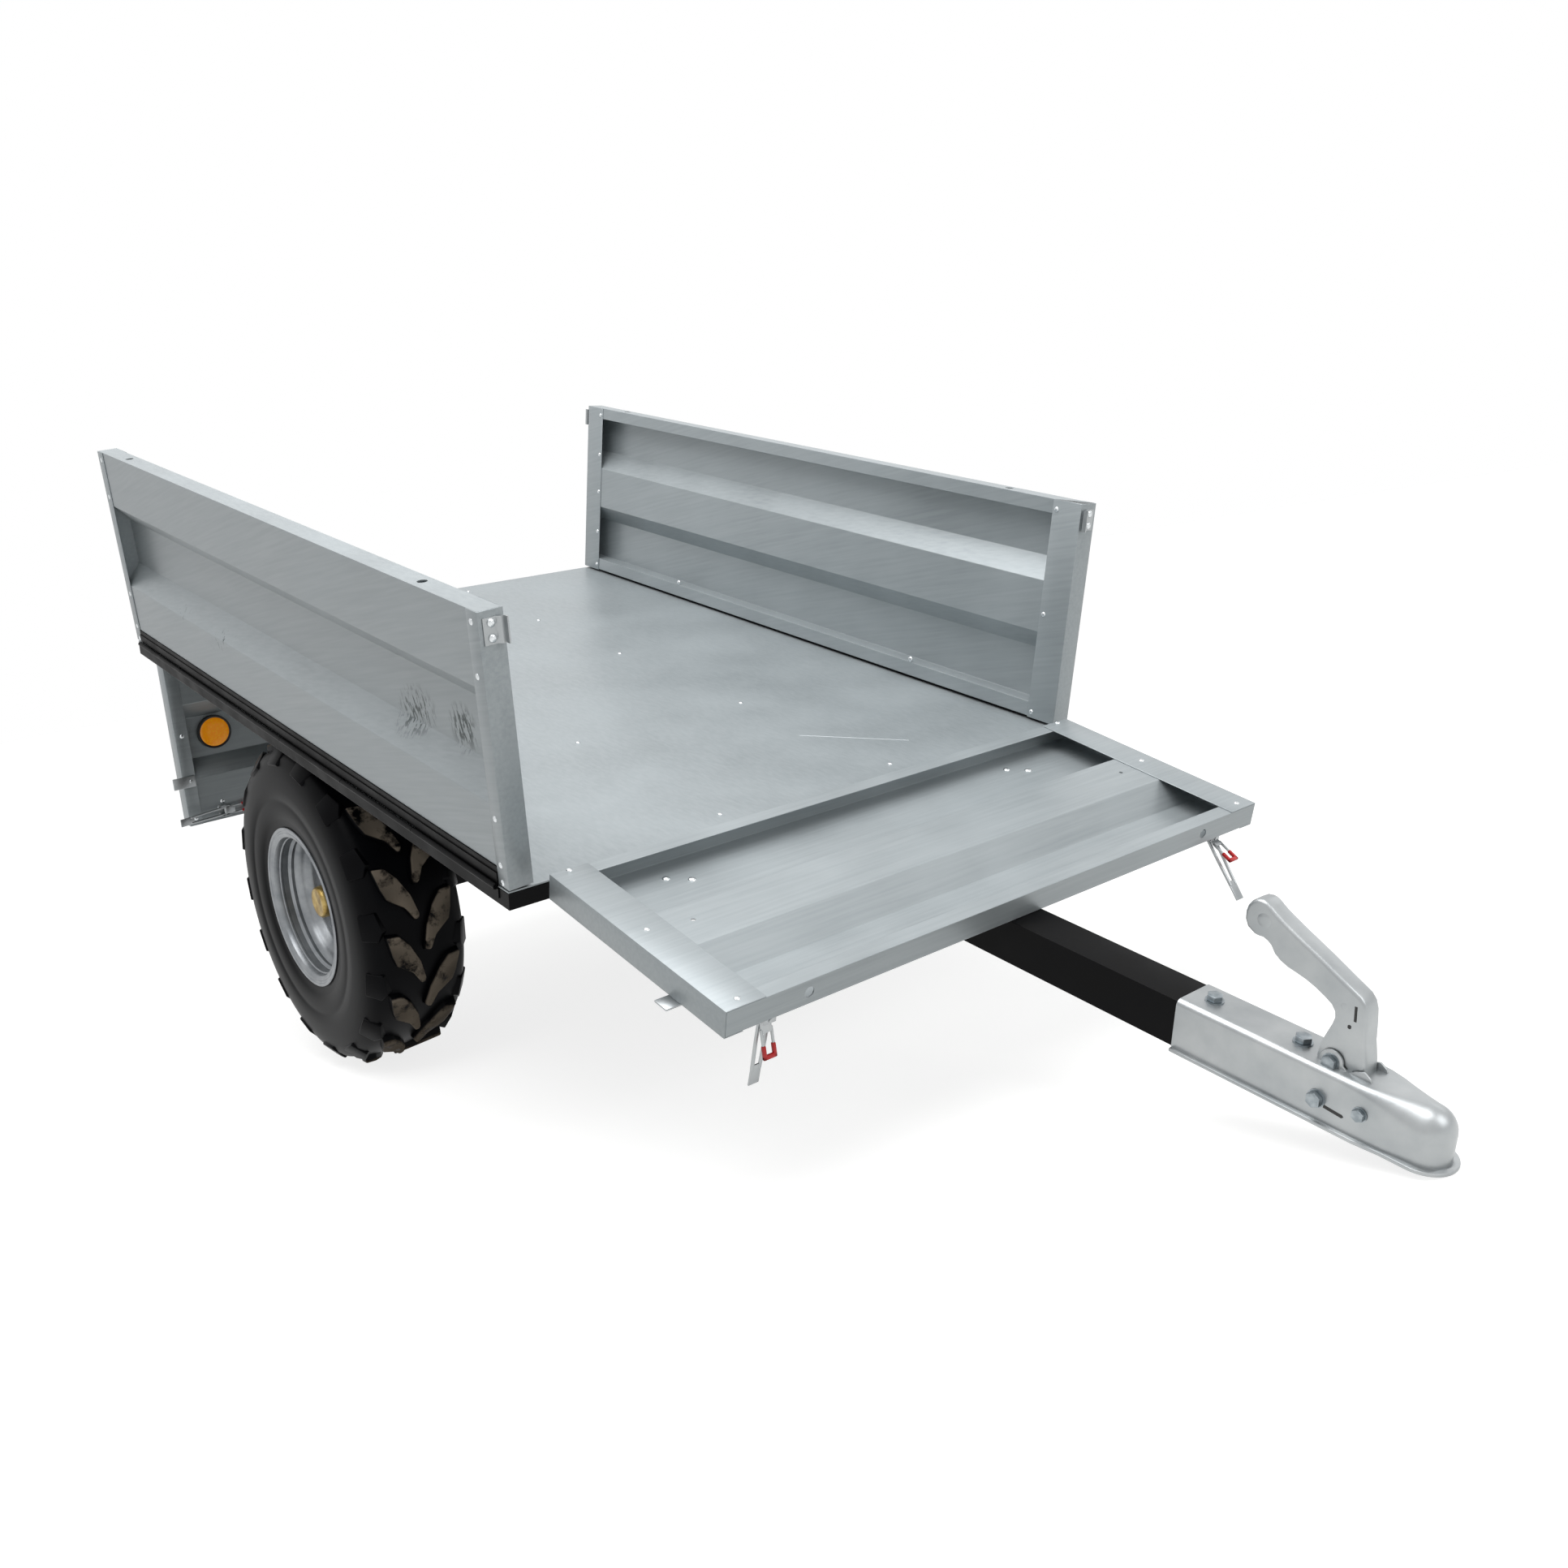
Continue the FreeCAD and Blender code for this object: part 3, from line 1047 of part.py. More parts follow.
# The post holes in the boards' top faces, with the group they move with
post_z = size.seam_gap + size.side_height - half_sheet
post_x = size.bed_width / 2 - size.board_thickness / 2
gate_post_z = size.gate_floor_gap + size.gate_height - half_sheet
gate_post_x = size.gate_half - size.gate_post_inset
gate_post_y = size.board_thickness / 2 - size.gate_face_offset
post_places = {}
for way, side in ((1, "left"), (-1, "right")):
    for end, inset in (("front", size.front_post_inset), ("rear", size.bed_length - size.rear_post_inset)):
        post_places[f"bore_side_{side}_{end}"] = (f"side_{side}", Vector(way * post_x, inset, post_z))
    post_places[f"bore_front_gate_{side}"] = ("front_gate", Vector(way * gate_post_x, gate_post_y, gate_post_z))
    rear_place = other_end.multVec(Vector(-way * gate_post_x, gate_post_y, gate_post_z))
    post_places[f"bore_rear_gate_{side}"] = ("rear_gate", rear_place)
for name, (group, place) in post_places.items():
    places[name] = (poses[group].multVec(place), poses[group].Rotation.multVec(Vector(0, 0, 1)))
for name, (place, axis) in places.items():
    point = parked.multVec(place)
    way = parked.Rotation.multVec(axis)
    print("place", name, *(round(number / 1000, 6) for number in point), *(round(number, 6) for number in way))

# Every shape is checked before anything is written
for item in doc.Objects:
    if {"Invalid", "Error"} & set(item.State):
        raise RuntimeError(f"{item.Label} failed: {item.State}")
for whole, group in nodes:
    if whole.Shape.isNull() or not whole.Shape.isValid() or not whole.Shape.Solids:
        raise RuntimeError(f"{whole.Label} has no valid shape")

os.makedirs("parts", exist_ok=True)
for whole, group in nodes:
    whole.Shape.exportStep(f"parts/{whole.Label}.step")
print(len(nodes), "pieces written")
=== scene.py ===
# Tipping garden trailer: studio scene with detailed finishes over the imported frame
import json
import math

import bmesh
import bpy
from mathutils import Matrix, Vector

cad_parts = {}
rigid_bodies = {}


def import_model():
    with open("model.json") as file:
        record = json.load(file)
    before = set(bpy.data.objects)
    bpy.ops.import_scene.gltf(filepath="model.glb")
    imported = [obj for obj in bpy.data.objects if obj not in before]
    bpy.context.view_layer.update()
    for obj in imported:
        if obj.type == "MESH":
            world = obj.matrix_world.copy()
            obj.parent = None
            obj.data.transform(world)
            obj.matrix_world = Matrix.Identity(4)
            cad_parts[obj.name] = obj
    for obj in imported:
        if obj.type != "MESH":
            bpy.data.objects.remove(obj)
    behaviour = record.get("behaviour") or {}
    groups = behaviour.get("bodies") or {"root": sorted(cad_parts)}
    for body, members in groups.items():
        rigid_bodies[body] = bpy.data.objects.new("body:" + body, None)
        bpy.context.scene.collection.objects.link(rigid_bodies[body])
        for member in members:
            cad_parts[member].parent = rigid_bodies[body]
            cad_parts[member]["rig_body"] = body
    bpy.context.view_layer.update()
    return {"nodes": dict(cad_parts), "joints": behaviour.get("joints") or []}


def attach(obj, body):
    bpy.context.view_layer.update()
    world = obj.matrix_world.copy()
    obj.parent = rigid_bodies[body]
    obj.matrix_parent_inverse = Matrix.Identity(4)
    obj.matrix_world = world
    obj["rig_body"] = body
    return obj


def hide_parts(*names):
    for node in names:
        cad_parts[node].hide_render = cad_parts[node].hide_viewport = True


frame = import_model()
nodes = frame["nodes"]
print("frame loaded:", len(nodes), "nodes")

# Millimetres to metres, and the trailer's own level frame to the frame it is parked in
mm = 0.001
joints = {joint["name"]: joint for joint in frame["joints"]}
deck = {"length": 1440, "width": 1076, "pivotY": 918, "pivotZ": -75, "sideHinge": 4.5}
slope = math.atan2(joints["side_left"]["axis"][2], joints["side_left"]["axis"][1])
parkTurn = Matrix.Rotation(slope, 4, "X")
pivotHere = Vector(joints["bed_tip"]["pos_m"])
pivotThere = parkTurn @ Vector((0, deck["pivotY"] * mm, deck["pivotZ"] * mm))
levelFrame = Matrix.Translation(pivotHere - pivotThere) @ parkTurn @ Matrix.Scale(mm, 4)


# A turn in the level frame about a line through a point
def turnAbout(point, axis, degrees):
    spot = Matrix.Translation(Vector(point))
    return spot @ Matrix.Rotation(math.radians(degrees), 4, axis) @ spot.inverted()


halfTurn = turnAbout((0, deck["length"] / 2, 0), "Z", 180)
gateAxis = (0, -7, -14.5)
sideAxis = (deck["width"] / 2 + deck["sideHinge"], 0, 0)
leanAngle = -joints["side_left"]["range_deg"][0]
foldAngle = joints["front_gate"]["range_deg"][1]
hangAngle = joints["rear_gate"]["range_deg"][1]
# Each body's own frame: boards upright and gates closed at the front, as they are made
homes = {
    "chassis": levelFrame,
    "bed": levelFrame,
    "side_left": levelFrame @ turnAbout(sideAxis, "Y", leanAngle),
    "side_right": levelFrame @ halfTurn @ turnAbout(sideAxis, "Y", leanAngle),
    "front_gate": levelFrame @ turnAbout(gateAxis, "X", foldAngle),
    "rear_gate": levelFrame @ halfTurn @ turnAbout(gateAxis, "X", hangAngle),
}
for side, way in (("left", 1), ("right", -1)):
    centre = Vector(joints[f"wheel_{side}"]["pos_m"])
    facing = Matrix.Rotation(0 if way > 0 else math.pi, 4, "Z")
    homes[f"wheel_{side}"] = Matrix.Translation(centre) @ parkTurn @ facing @ Matrix.Scale(mm, 4)


# Colour written as sRGB hex, turned to linear
def linear(hexCode):
    parts = [int(hexCode[start:start + 2], 16) / 255 for start in (1, 3, 5)]
    return [part / 12.92 if part <= 0.04045 else ((part + 0.055) / 1.055) ** 2.4 for part in parts] + [1.0]


# Adds one node, sets its values and links its inputs
def addNode(material, kind, values=None, links=None, **settings):
    node = material.node_tree.nodes.new(kind)
    for key, value in settings.items():
        setattr(node, key, value)
    for key, value in (values or {}).items():
        node.inputs[key].default_value = value
    for key, source in (links or {}).items():
        material.node_tree.links.new(source, node.inputs[key])
    return node


def newMaterial(name, **surface):
    material = bpy.data.materials.new(name)
    material.use_nodes = True
    shader = material.node_tree.nodes["Principled BSDF"]
    for key, value in surface.items():
        shader.inputs[key.replace("_", " ")].default_value = value
    coords = addNode(material, "ShaderNodeTexCoord").outputs["Object"]
    return material, shader, coords


# Noise whose features are a real size in millimetres, stretched along an axis where asked
def grain(material, coords, size, detail=3.0, stretch=(1, 1, 1), roughness=0.5):
    scale = tuple(1000 / size / part for part in stretch)
    mapped = addNode(material, "ShaderNodeMapping", {"Scale": scale}, {"Vector": coords})
    noise = addNode(material, "ShaderNodeTexNoise", {"Scale": 1.0, "Detail": detail, "Roughness": roughness},
                    {"Vector": mapped.outputs["Vector"]})
    return noise.outputs["Fac"]


def ramp(material, source, low, high, lowValue=0.0, highValue=1.0):
    node = addNode(material, "ShaderNodeMapRange",
                   {"From Min": low, "From Max": high, "To Min": lowValue, "To Max": highValue},
                   {"Value": source})
    return node.outputs["Result"]


def blendColours(material, factor, first, second):
    node = addNode(material, "ShaderNodeMix", data_type="RGBA")
    for index, value in ((6, first), (7, second)):
        if isinstance(value, list):
            node.inputs[index].default_value = value
        else:
            material.node_tree.links.new(value, node.inputs[index])
    material.node_tree.links.new(factor, node.inputs[0])
    return node.outputs[2]


def addBump(material, shader, height, strength, distance):
    node = addNode(material, "ShaderNodeBump", {"Strength": strength, "Distance": distance},
                   {"Height": height})
    material.node_tree.links.new(node.outputs["Normal"], shader.inputs["Normal"])


def wire(material, source, shader, socket):
    material.node_tree.links.new(source, shader.inputs[socket])


# Zinc coated sheet: satin, blue-grey, with faint clouds and streaks along the rolling direction
zincSheet = {"dark": "#8F9699", "light": "#A0A7AA", "glint": "#AEB4B6", "rubbed": "#323D3D",
             "cloud": 170, "streak": 5}


def makeZincSheet(name, stretch, smudges=None):
    material, shader, coords = newMaterial(name, Metallic=0.35, Roughness=0.38)
    clouds = grain(material, coords, zincSheet["cloud"], 4.0)
    streaks = grain(material, coords, zincSheet["streak"], 2.0, stretch)
    tone = blendColours(material, ramp(material, clouds, 0.2, 0.8), linear(zincSheet["dark"]),
                        linear(zincSheet["light"]))
    fine = blendColours(material, ramp(material, streaks, 0.3, 0.7, 0.0, 0.35), tone,
                        linear(zincSheet["glint"]))
    if smudges:
        fine = blendColours(material, smudges(material, coords), fine, linear(zincSheet["rubbed"]))
    wire(material, fine, shader, "Base Color")
    wire(material, ramp(material, clouds, 0.25, 0.75, 0.33, 0.46), shader, "Roughness")
    addBump(material, shader, streaks, 0.06, 0.0004)
    return material


# Dark rub marks where something was dragged along the outside of the near board
outerFace = deck["width"] / 2
rubs = [
    # place in mm, reach along and up in metres, noise level where the flecks start
    ((outerFace, 1303, 180), 0.036, 0.032, 0.48),
    ((outerFace, 1170, 168), 0.055, 0.034, 0.5),
    ((outerFace, 490, 113), 0.05, 0.016, 0.6),
    ((outerFace, 300, 118), 0.03, 0.016, 0.6),
]


def rubMarks(material, coords):
    flecks = grain(material, coords, 11, 3.0, (1, 0.55, 1.7), 0.6)
    total = None
    for spot, along, up, least in rubs:
        place = homes["side_right"] @ Vector(spot)
        offset = addNode(material, "ShaderNodeVectorMath", {1: place}, {0: coords}, operation="SUBTRACT")
        reach = addNode(material, "ShaderNodeMapping", {"Scale": (1, 1 / along, 1 / up)},
                        {"Vector": offset.outputs[0]})
        distance = addNode(material, "ShaderNodeVectorMath", None, {0: reach.outputs["Vector"]},
                           operation="LENGTH")
        near = ramp(material, distance.outputs["Value"], 0.5, 1.2, 1.0, 0.0)
        dark = ramp(material, flecks, least, least + 0.07)
        marks = addNode(material, "ShaderNodeMath", None, {0: near, 1: dark}, operation="MULTIPLY")
        if total:
            marks = addNode(material, "ShaderNodeMath", None, {0: total, 1: marks.outputs[0]},
                            operation="MAXIMUM")
        total = marks.outputs[0]
    return total


sheetAlong = makeZincSheet("zincSheetAlongBoard", (1, 30, 1))
sheetMarked = makeZincSheet("zincSheetRubbed", (1, 30, 1), rubMarks)
sheetAcross = makeZincSheet("zincSheetAcrossGate", (30, 1, 1))

# Bright electroplated zinc on pressed steel: smoother and bluer than the sheet, with fine tool marks
plated = {"dark": "#9CA0A2", "light": "#AEB1B2", "mottle": 45}
brightZinc, shader, coords = newMaterial("brightZincPlate", Metallic=0.92, Roughness=0.3)
mottle = grain(brightZinc, coords, plated["mottle"], 4.0)
wire(brightZinc, blendColours(brightZinc, ramp(brightZinc, mottle, 0.3, 0.7), linear(plated["dark"]),
                              linear(plated["light"])), shader, "Base Color")
wire(brightZinc, ramp(brightZinc, mottle, 0.25, 0.75, 0.32, 0.4), shader, "Roughness")
addBump(brightZinc, shader, grain(brightZinc, coords, 1.6, 2.0), 0.05, 0.0002)

# Bright rivet heads, tumbled smooth
rivetZinc, shader, coords = newMaterial("brightRivetZinc", Base_Color=linear("#D2D6D8"), Metallic=0.9,
                                        Roughness=0.22)
addBump(rivetZinc, shader, grain(rivetZinc, coords, 1.5, 1.0), 0.05, 0.0001)

# Duller zinc on bolts and nuts
boltZinc, shader, coords = newMaterial("dullBoltZinc", Metallic=0.9, Roughness=0.34)
wire(boltZinc, blendColours(boltZinc, ramp(boltZinc, grain(boltZinc, coords, 9, 3.0), 0.3, 0.7),
                            linear("#7E868B"), linear("#A2A9AD")), shader, "Base Color")
addBump(boltZinc, shader, grain(boltZinc, coords, 1.2, 2.0), 0.1, 0.0002)

# Satin black powder coat over welded steel: a fine orange peel and a little dust
coat = {"black": "#050506", "dust": "#121110", "peel": 1.8}
blackCoat, shader, coords = newMaterial("blackPowderCoat", Roughness=0.42, Specular_IOR_Level=0.08)
dustPatch = grain(blackCoat, coords, 60, 4.0)
coatTone = blendColours(blackCoat, ramp(blackCoat, dustPatch, 0.52, 0.8, 0.0, 0.5), linear(coat["black"]),
                        linear(coat["dust"]))
wire(blackCoat, coatTone, shader, "Base Color")
wire(blackCoat, ramp(blackCoat, dustPatch, 0.3, 0.75, 0.36, 0.55), shader, "Roughness")
addBump(blackCoat, shader, grain(blackCoat, coords, coat["peel"], 1.0), 0.12, 0.0002)

# Tyre rubber, moulded: deep black with a bluish gloss, tan dust on the tops of the lugs
rubber = {"black": "#030305", "grey": "#07080B", "tan": "#94887A", "dustFrom": 0.2885, "dustTo": 0.2925}
tyreRubber, shader, coords = newMaterial("mouldedTyreRubber", Roughness=0.42, Specular_IOR_Level=0.06)
black = blendColours(tyreRubber, ramp(tyreRubber, grain(tyreRubber, coords, 45, 4.0), 0.35, 0.7),
                     linear(rubber["black"]), linear(rubber["grey"]))
offset = addNode(tyreRubber, "ShaderNodeVectorMath", {1: homes["wheel_left"].translation}, {0: coords},
                 operation="SUBTRACT")
acrossAxle = addNode(tyreRubber, "ShaderNodeVectorMath", {1: (0, 1, 1)}, {0: offset.outputs[0]},
                     operation="MULTIPLY")
radius = addNode(tyreRubber, "ShaderNodeVectorMath", None, {0: acrossAxle.outputs[0]}, operation="LENGTH")
topOfLug = ramp(tyreRubber, radius.outputs["Value"], rubber["dustFrom"], rubber["dustTo"])
dustPatches = ramp(tyreRubber, grain(tyreRubber, coords, 30, 5.0, roughness=0.65), 0.36, 0.5, 0.0, 0.92)
dusty = addNode(tyreRubber, "ShaderNodeMath", None, {0: topOfLug, 1: dustPatches}, operation="MULTIPLY")
rubberTone = blendColours(tyreRubber, dusty.outputs[0], black, linear(rubber["tan"]))
wire(tyreRubber, rubberTone, shader, "Base Color")
wire(tyreRubber, ramp(tyreRubber, dusty.outputs[0], 0.0, 0.8, 0.4, 0.85), shader, "Roughness")
addBump(tyreRubber, shader, grain(tyreRubber, coords, 2.2, 2.0), 0.12, 0.0003)

# Silver wheel paint over pressed steel, its colours darkened as painted shade for the wheel under the board
rimSilverShaded = {"light": "#9A9DA0", "dark": "#7B7F83"}
silverPaintShaded, shader, coords = newMaterial("silverWheelPaintShaded", Metallic=0.7, Roughness=0.36)
wire(silverPaintShaded, blendColours(silverPaintShaded, ramp(silverPaintShaded, grain(silverPaintShaded, coords, 30, 4.0), 0.3, 0.7),
                               linear(rimSilverShaded["dark"]), linear(rimSilverShaded["light"])), shader, "Base Color")
addBump(silverPaintShaded, shader, grain(silverPaintShaded, coords, 1.5, 1.0), 0.06, 0.0002)

# Yellow passivated zinc on the pressed dust cap
yellowZinc, shader, coords = newMaterial("yellowPassivatedZinc", Metallic=0.9, Roughness=0.35)
wire(yellowZinc, blendColours(yellowZinc, ramp(yellowZinc, grain(yellowZinc, coords, 12, 3.0), 0.35, 0.65),
                              linear("#8E7440"), linear("#B39C62")), shader, "Base Color")

# Amber acrylic reflector lens with moulded prisms, and a faint emission that paints a glow on the lens
amber = {"light": "#FFB21E", "dark": "#E08A08", "lit": "#FF9C10", "glow": 0.28, "prism": 4.5}
amberLens, shader, coords = newMaterial("amberAcrylicLens", Roughness=0.25,
                                        Emission_Color=linear(amber["lit"]), Emission_Strength=amber["glow"])
prisms = addNode(amberLens, "ShaderNodeTexVoronoi", {"Scale": 1000 / amber["prism"]}, {"Vector": coords})
wire(amberLens, blendColours(amberLens, ramp(amberLens, prisms.outputs["Distance"], 0.1, 0.6),
                             linear(amber["light"]), linear(amber["dark"])), shader, "Base Color")
addBump(amberLens, shader, prisms.outputs["Distance"], 0.25, 0.0006)

# Dipped red vinyl grips on the toggle levers, and black moulded plastic, also painted shade in the slots
redVinyl, shader, coords = newMaterial("redVinylGrip", Base_Color=linear("#C3191C"), Roughness=0.35)
addBump(redVinyl, shader, grain(redVinyl, coords, 3, 2.0), 0.1, 0.0003)
blackPlasticAndSlotShade, shader, coords = newMaterial("blackMouldedPlasticAndSlotShade", Base_Color=linear("#131313"),
                                           Roughness=0.4)
addBump(blackPlasticAndSlotShade, shader, grain(blackPlasticAndSlotShade, coords, 1.0, 1.0), 0.1, 0.0002)
print("materials made:", len(bpy.data.materials))

# The finish of each node, by the start of its name
finishes = {
    "drawbar": blackCoat, "chassis_cross": blackCoat, "leg_": blackCoat, "axle_beam": blackCoat,
    "spindles": brightZinc, "strut_": blackCoat, "pivot_tube": blackCoat, "rest_pad": blackCoat,
    "tip_latch": brightZinc, "coupler_": brightZinc, "bed_frame": blackCoat, "bed_cross": blackCoat,
    "bed_beams": blackCoat, "bed_floor": sheetAlong, "tip_lugs": blackCoat, "tip_catch": blackCoat,
    "gate_hinge": blackCoat, "side_hinge": blackCoat, "side_sheet_left": sheetAlong,
    "side_sheet_right": sheetMarked, "side_rail": blackCoat, "side_caps": sheetAlong,
    "side_keepers": brightZinc, "front_gate_sheet": sheetAcross, "rear_gate_sheet": sheetAcross,
    "front_gate_caps": sheetAcross, "rear_gate_caps": sheetAcross, "front_gate_straps": blackCoat,
    "rear_gate_straps": blackCoat, "front_gate_latches": brightZinc, "rear_gate_latches": brightZinc,
    "rear_gate_reflectors": amberLens, "tyre_": tyreRubber, "rim_": silverPaintShaded, "hub_": silverPaintShaded,
    "dust_cap": yellowZinc,
}
for name, node in nodes.items():
    finish = [finishes[key] for key in finishes if name.startswith(key)][0]
    node.data.materials.clear()
    node.data.materials.append(finish)


# Turns a shape made in a body's own frame into a piece that rides on that body
def makePiece(name, body, shape, finish, replaces=(), sharp=35, placed=False):
    if not placed:
        shape.transform(homes[body])
    bmesh.ops.recalc_face_normals(shape, faces=shape.faces[:])
    mesh = bpy.data.meshes.new(name)
    shape.to_mesh(mesh)
    shape.free()
    for material in finish if isinstance(finish, list) else [finish]:
        mesh.materials.append(material)
    mesh.polygons.foreach_set("use_smooth", [True] * len(mesh.polygons))
    mesh.set_sharp_from_angle(angle=math.radians(sharp))
    holder = bpy.data.objects.new(name, mesh)
    bpy.context.scene.collection.objects.link(holder)
    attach(holder, body)
    if replaces:
        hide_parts(*replaces)
    return holder


def bevelEdges(shape, edges, width, segments=2):
    bmesh.ops.bevel(shape, geom=edges, offset=width, segments=segments, profile=0.5, affect="EDGES",
                    clamp_overlap=True, material=-1)


# A flat outline in the x, y plane of its own frame, drawn out along z
def addPrism(shape, points, low, high, place=Matrix.Identity(4), width=0, segments=2):
    part = bmesh.new()
    corners = [part.verts.new((x, y, low)) for x, y in points]
    face = part.faces.new(corners)
    out = bmesh.ops.extrude_face_region(part, geom=[face])
    raised = [item for item in out["geom"] if isinstance(item, bmesh.types.BMVert)]
    bmesh.ops.translate(part, verts=raised, vec=(0, 0, high - low))
    bmesh.ops.recalc_face_normals(part, faces=part.faces[:])
    if width:
        bevelEdges(part, part.edges[:], width, segments)
    joinShape(shape, part, place)


def joinShape(shape, part, place=Matrix.Identity(4), finish=0):
    part.transform(place)
    for face in part.faces:
        face.material_index = max(face.material_index, finish)
    mesh = bpy.data.meshes.new("part")
    part.to_mesh(mesh)
    part.free()
    shape.from_mesh(mesh)
    bpy.data.meshes.remove(mesh)


def addBlock(shape, low, high, width=0, place=Matrix.Identity(4), finish=0):
    part = bmesh.new()
    bmesh.ops.create_cube(part, size=1)
    span = Vector(high) - Vector(low)
    part.transform(Matrix.Translation((Vector(low) + Vector(high)) / 2) @ Matrix.Diagonal((*span, 1)))
    if width:
        bevelEdges(part, part.edges[:], width)
    joinShape(shape, part, place, finish)


# A round bar between two points
def addBar(shape, start, end, radius, segments=16, width=0, finish=0, tip=None):
    part = bmesh.new()
    run = Vector(end) - Vector(start)
    bmesh.ops.create_cone(part, cap_ends=True, segments=segments, radius1=radius,
                          radius2=radius if tip is None else tip, depth=run.length)
    if width:
        ends = [edge for edge in part.edges if any(len(face.verts) > 4 for face in edge.link_faces)]
        bevelEdges(part, ends, width)
    turn = run.to_track_quat("Z", "Y").to_matrix().to_4x4()
    joinShape(shape, part, Matrix.Translation((Vector(start) + Vector(end)) / 2) @ turn, finish)


# A wire through a row of points, with a round joint at each bend
def addWire(shape, points, radius, finish=0):
    for start, end in zip(points, points[1:]):
        addBar(shape, start, end, radius, 10, finish=finish)
    for point in points:
        part = bmesh.new()
        bmesh.ops.create_uvsphere(part, u_segments=10, v_segments=6, radius=radius)
        joinShape(shape, part, Matrix.Translation(point), finish)


# Domed rivet heads, half sunk, facing a way, and flatter ones on the boards' outer faces
rivet = {"radius": 4.4, "height": 0.5, "flat": 0.3}


def addRivets(shape, points, facing, radius=rivet["radius"], finish=0, height=rivet["height"]):
    for point in points:
        part = bmesh.new()
        bmesh.ops.create_uvsphere(part, u_segments=14, v_segments=8, radius=radius)
        turn = Vector(facing).to_track_quat("Z", "Y").to_matrix().to_4x4()
        joinShape(shape, part, Matrix.Translation(point) @ turn @ Matrix.Diagonal((1, 1, height, 1)), finish)


# A hexagon head or nut, given across its flats, with a washer under it
def addHexHead(shape, point, facing, flats, height, washer=1.6, finish=0):
    turn = Matrix.Translation(point) @ Vector(facing).to_track_quat("Z", "Y").to_matrix().to_4x4()
    if washer:
        part = bmesh.new()
        bmesh.ops.create_cone(part, cap_ends=True, segments=28, radius1=flats * 0.66, radius2=flats * 0.66,
                              depth=washer)
        joinShape(shape, part, turn @ Matrix.Translation((0, 0, washer / 2)), finish)
    part = bmesh.new()
    bmesh.ops.create_cone(part, cap_ends=True, segments=6, radius1=flats * 0.577, radius2=flats * 0.577,
                          depth=height)
    bevelEdges(part, [edge for edge in part.edges if abs(edge.verts[0].co.z - edge.verts[1].co.z) < 0.01],
               flats * 0.05)
    joinShape(shape, part, turn @ Matrix.Translation((0, 0, washer + height / 2)), finish)


# A ring of axial place and radius spun about the X axis
def addSpun(shape, points, steps=96, closed=True, finish=0, place=Matrix.Identity(4)):
    part = bmesh.new()
    verts = [part.verts.new((x, 0, radius)) for x, radius in points]
    pairs = zip(verts, verts[1:] + (verts[:1] if closed else []))
    edges = [part.edges.new(pair) for pair in pairs]
    bmesh.ops.spin(part, geom=verts + edges, cent=(0, 0, 0), axis=(1, 0, 0), angle=2 * math.pi, steps=steps,
                   use_merge=True)
    bmesh.ops.remove_doubles(part, verts=part.verts[:], dist=1e-4)
    bmesh.ops.recalc_face_normals(part, faces=part.faces[:])
    joinShape(shape, part, place, finish)


# A copy of a CAD node with its longer edges rounded: outer corners, and on sheets every fold
def soften(name, width, segments, shortest):
    source = nodes[name]
    shape = bmesh.new()
    shape.from_mesh(source.data)
    bmesh.ops.remove_doubles(shape, verts=shape.verts[:], dist=1e-6)
    bmesh.ops.dissolve_limit(shape, angle_limit=math.radians(1), verts=shape.verts[:], edges=shape.edges[:])
    bmesh.ops.recalc_face_normals(shape, faces=shape.faces[:])
    folded = "sheet" in name
    least = math.radians(10 if folded else 40)
    edges = [
        edge for edge in shape.edges
        if len(edge.link_faces) == 2 and (edge.is_convex or folded) and edge.calc_face_angle(0) > least
        and edge.calc_length() > shortest
    ]
    bevelEdges(shape, edges, width, segments)
    return makePiece(name + "Soft", source["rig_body"], shape, source.data.materials[0], (name,),
                     4 if folded else 35, True)


# Tubes and folded sheets with the bend radii they really have
softened = {
    # node: bend radius, segments, shortest edge that is rounded, in metres
    "drawbar": (0.006, 3, 0.3), "chassis_cross": (0.006, 3, 0.1), "axle_beam": (0.006, 3, 0.3),
    "leg_left": (0.005, 3, 0.1), "leg_right": (0.005, 3, 0.1), "bed_frame": (0.0025, 2, 0.3),
    "side_caps_left": (0.0012, 2, 0.02), "side_caps_right": (0.0012, 2, 0.02),
    "front_gate_caps": (0.0012, 2, 0.02), "rear_gate_caps": (0.0012, 2, 0.02),
    "front_gate_straps": (0.001, 2, 0.01), "rear_gate_straps": (0.001, 2, 0.01),
    "side_sheet_left": (0.0011, 2, 0.5), "side_sheet_right": (0.0011, 2, 0.5),
    "front_gate_sheet": (0.0011, 2, 0.3), "rear_gate_sheet": (0.0011, 2, 0.3),
}
for name, (width, segments, shortest) in softened.items():
    soften(name, width, segments, shortest)
print("tubes and sheets rounded")

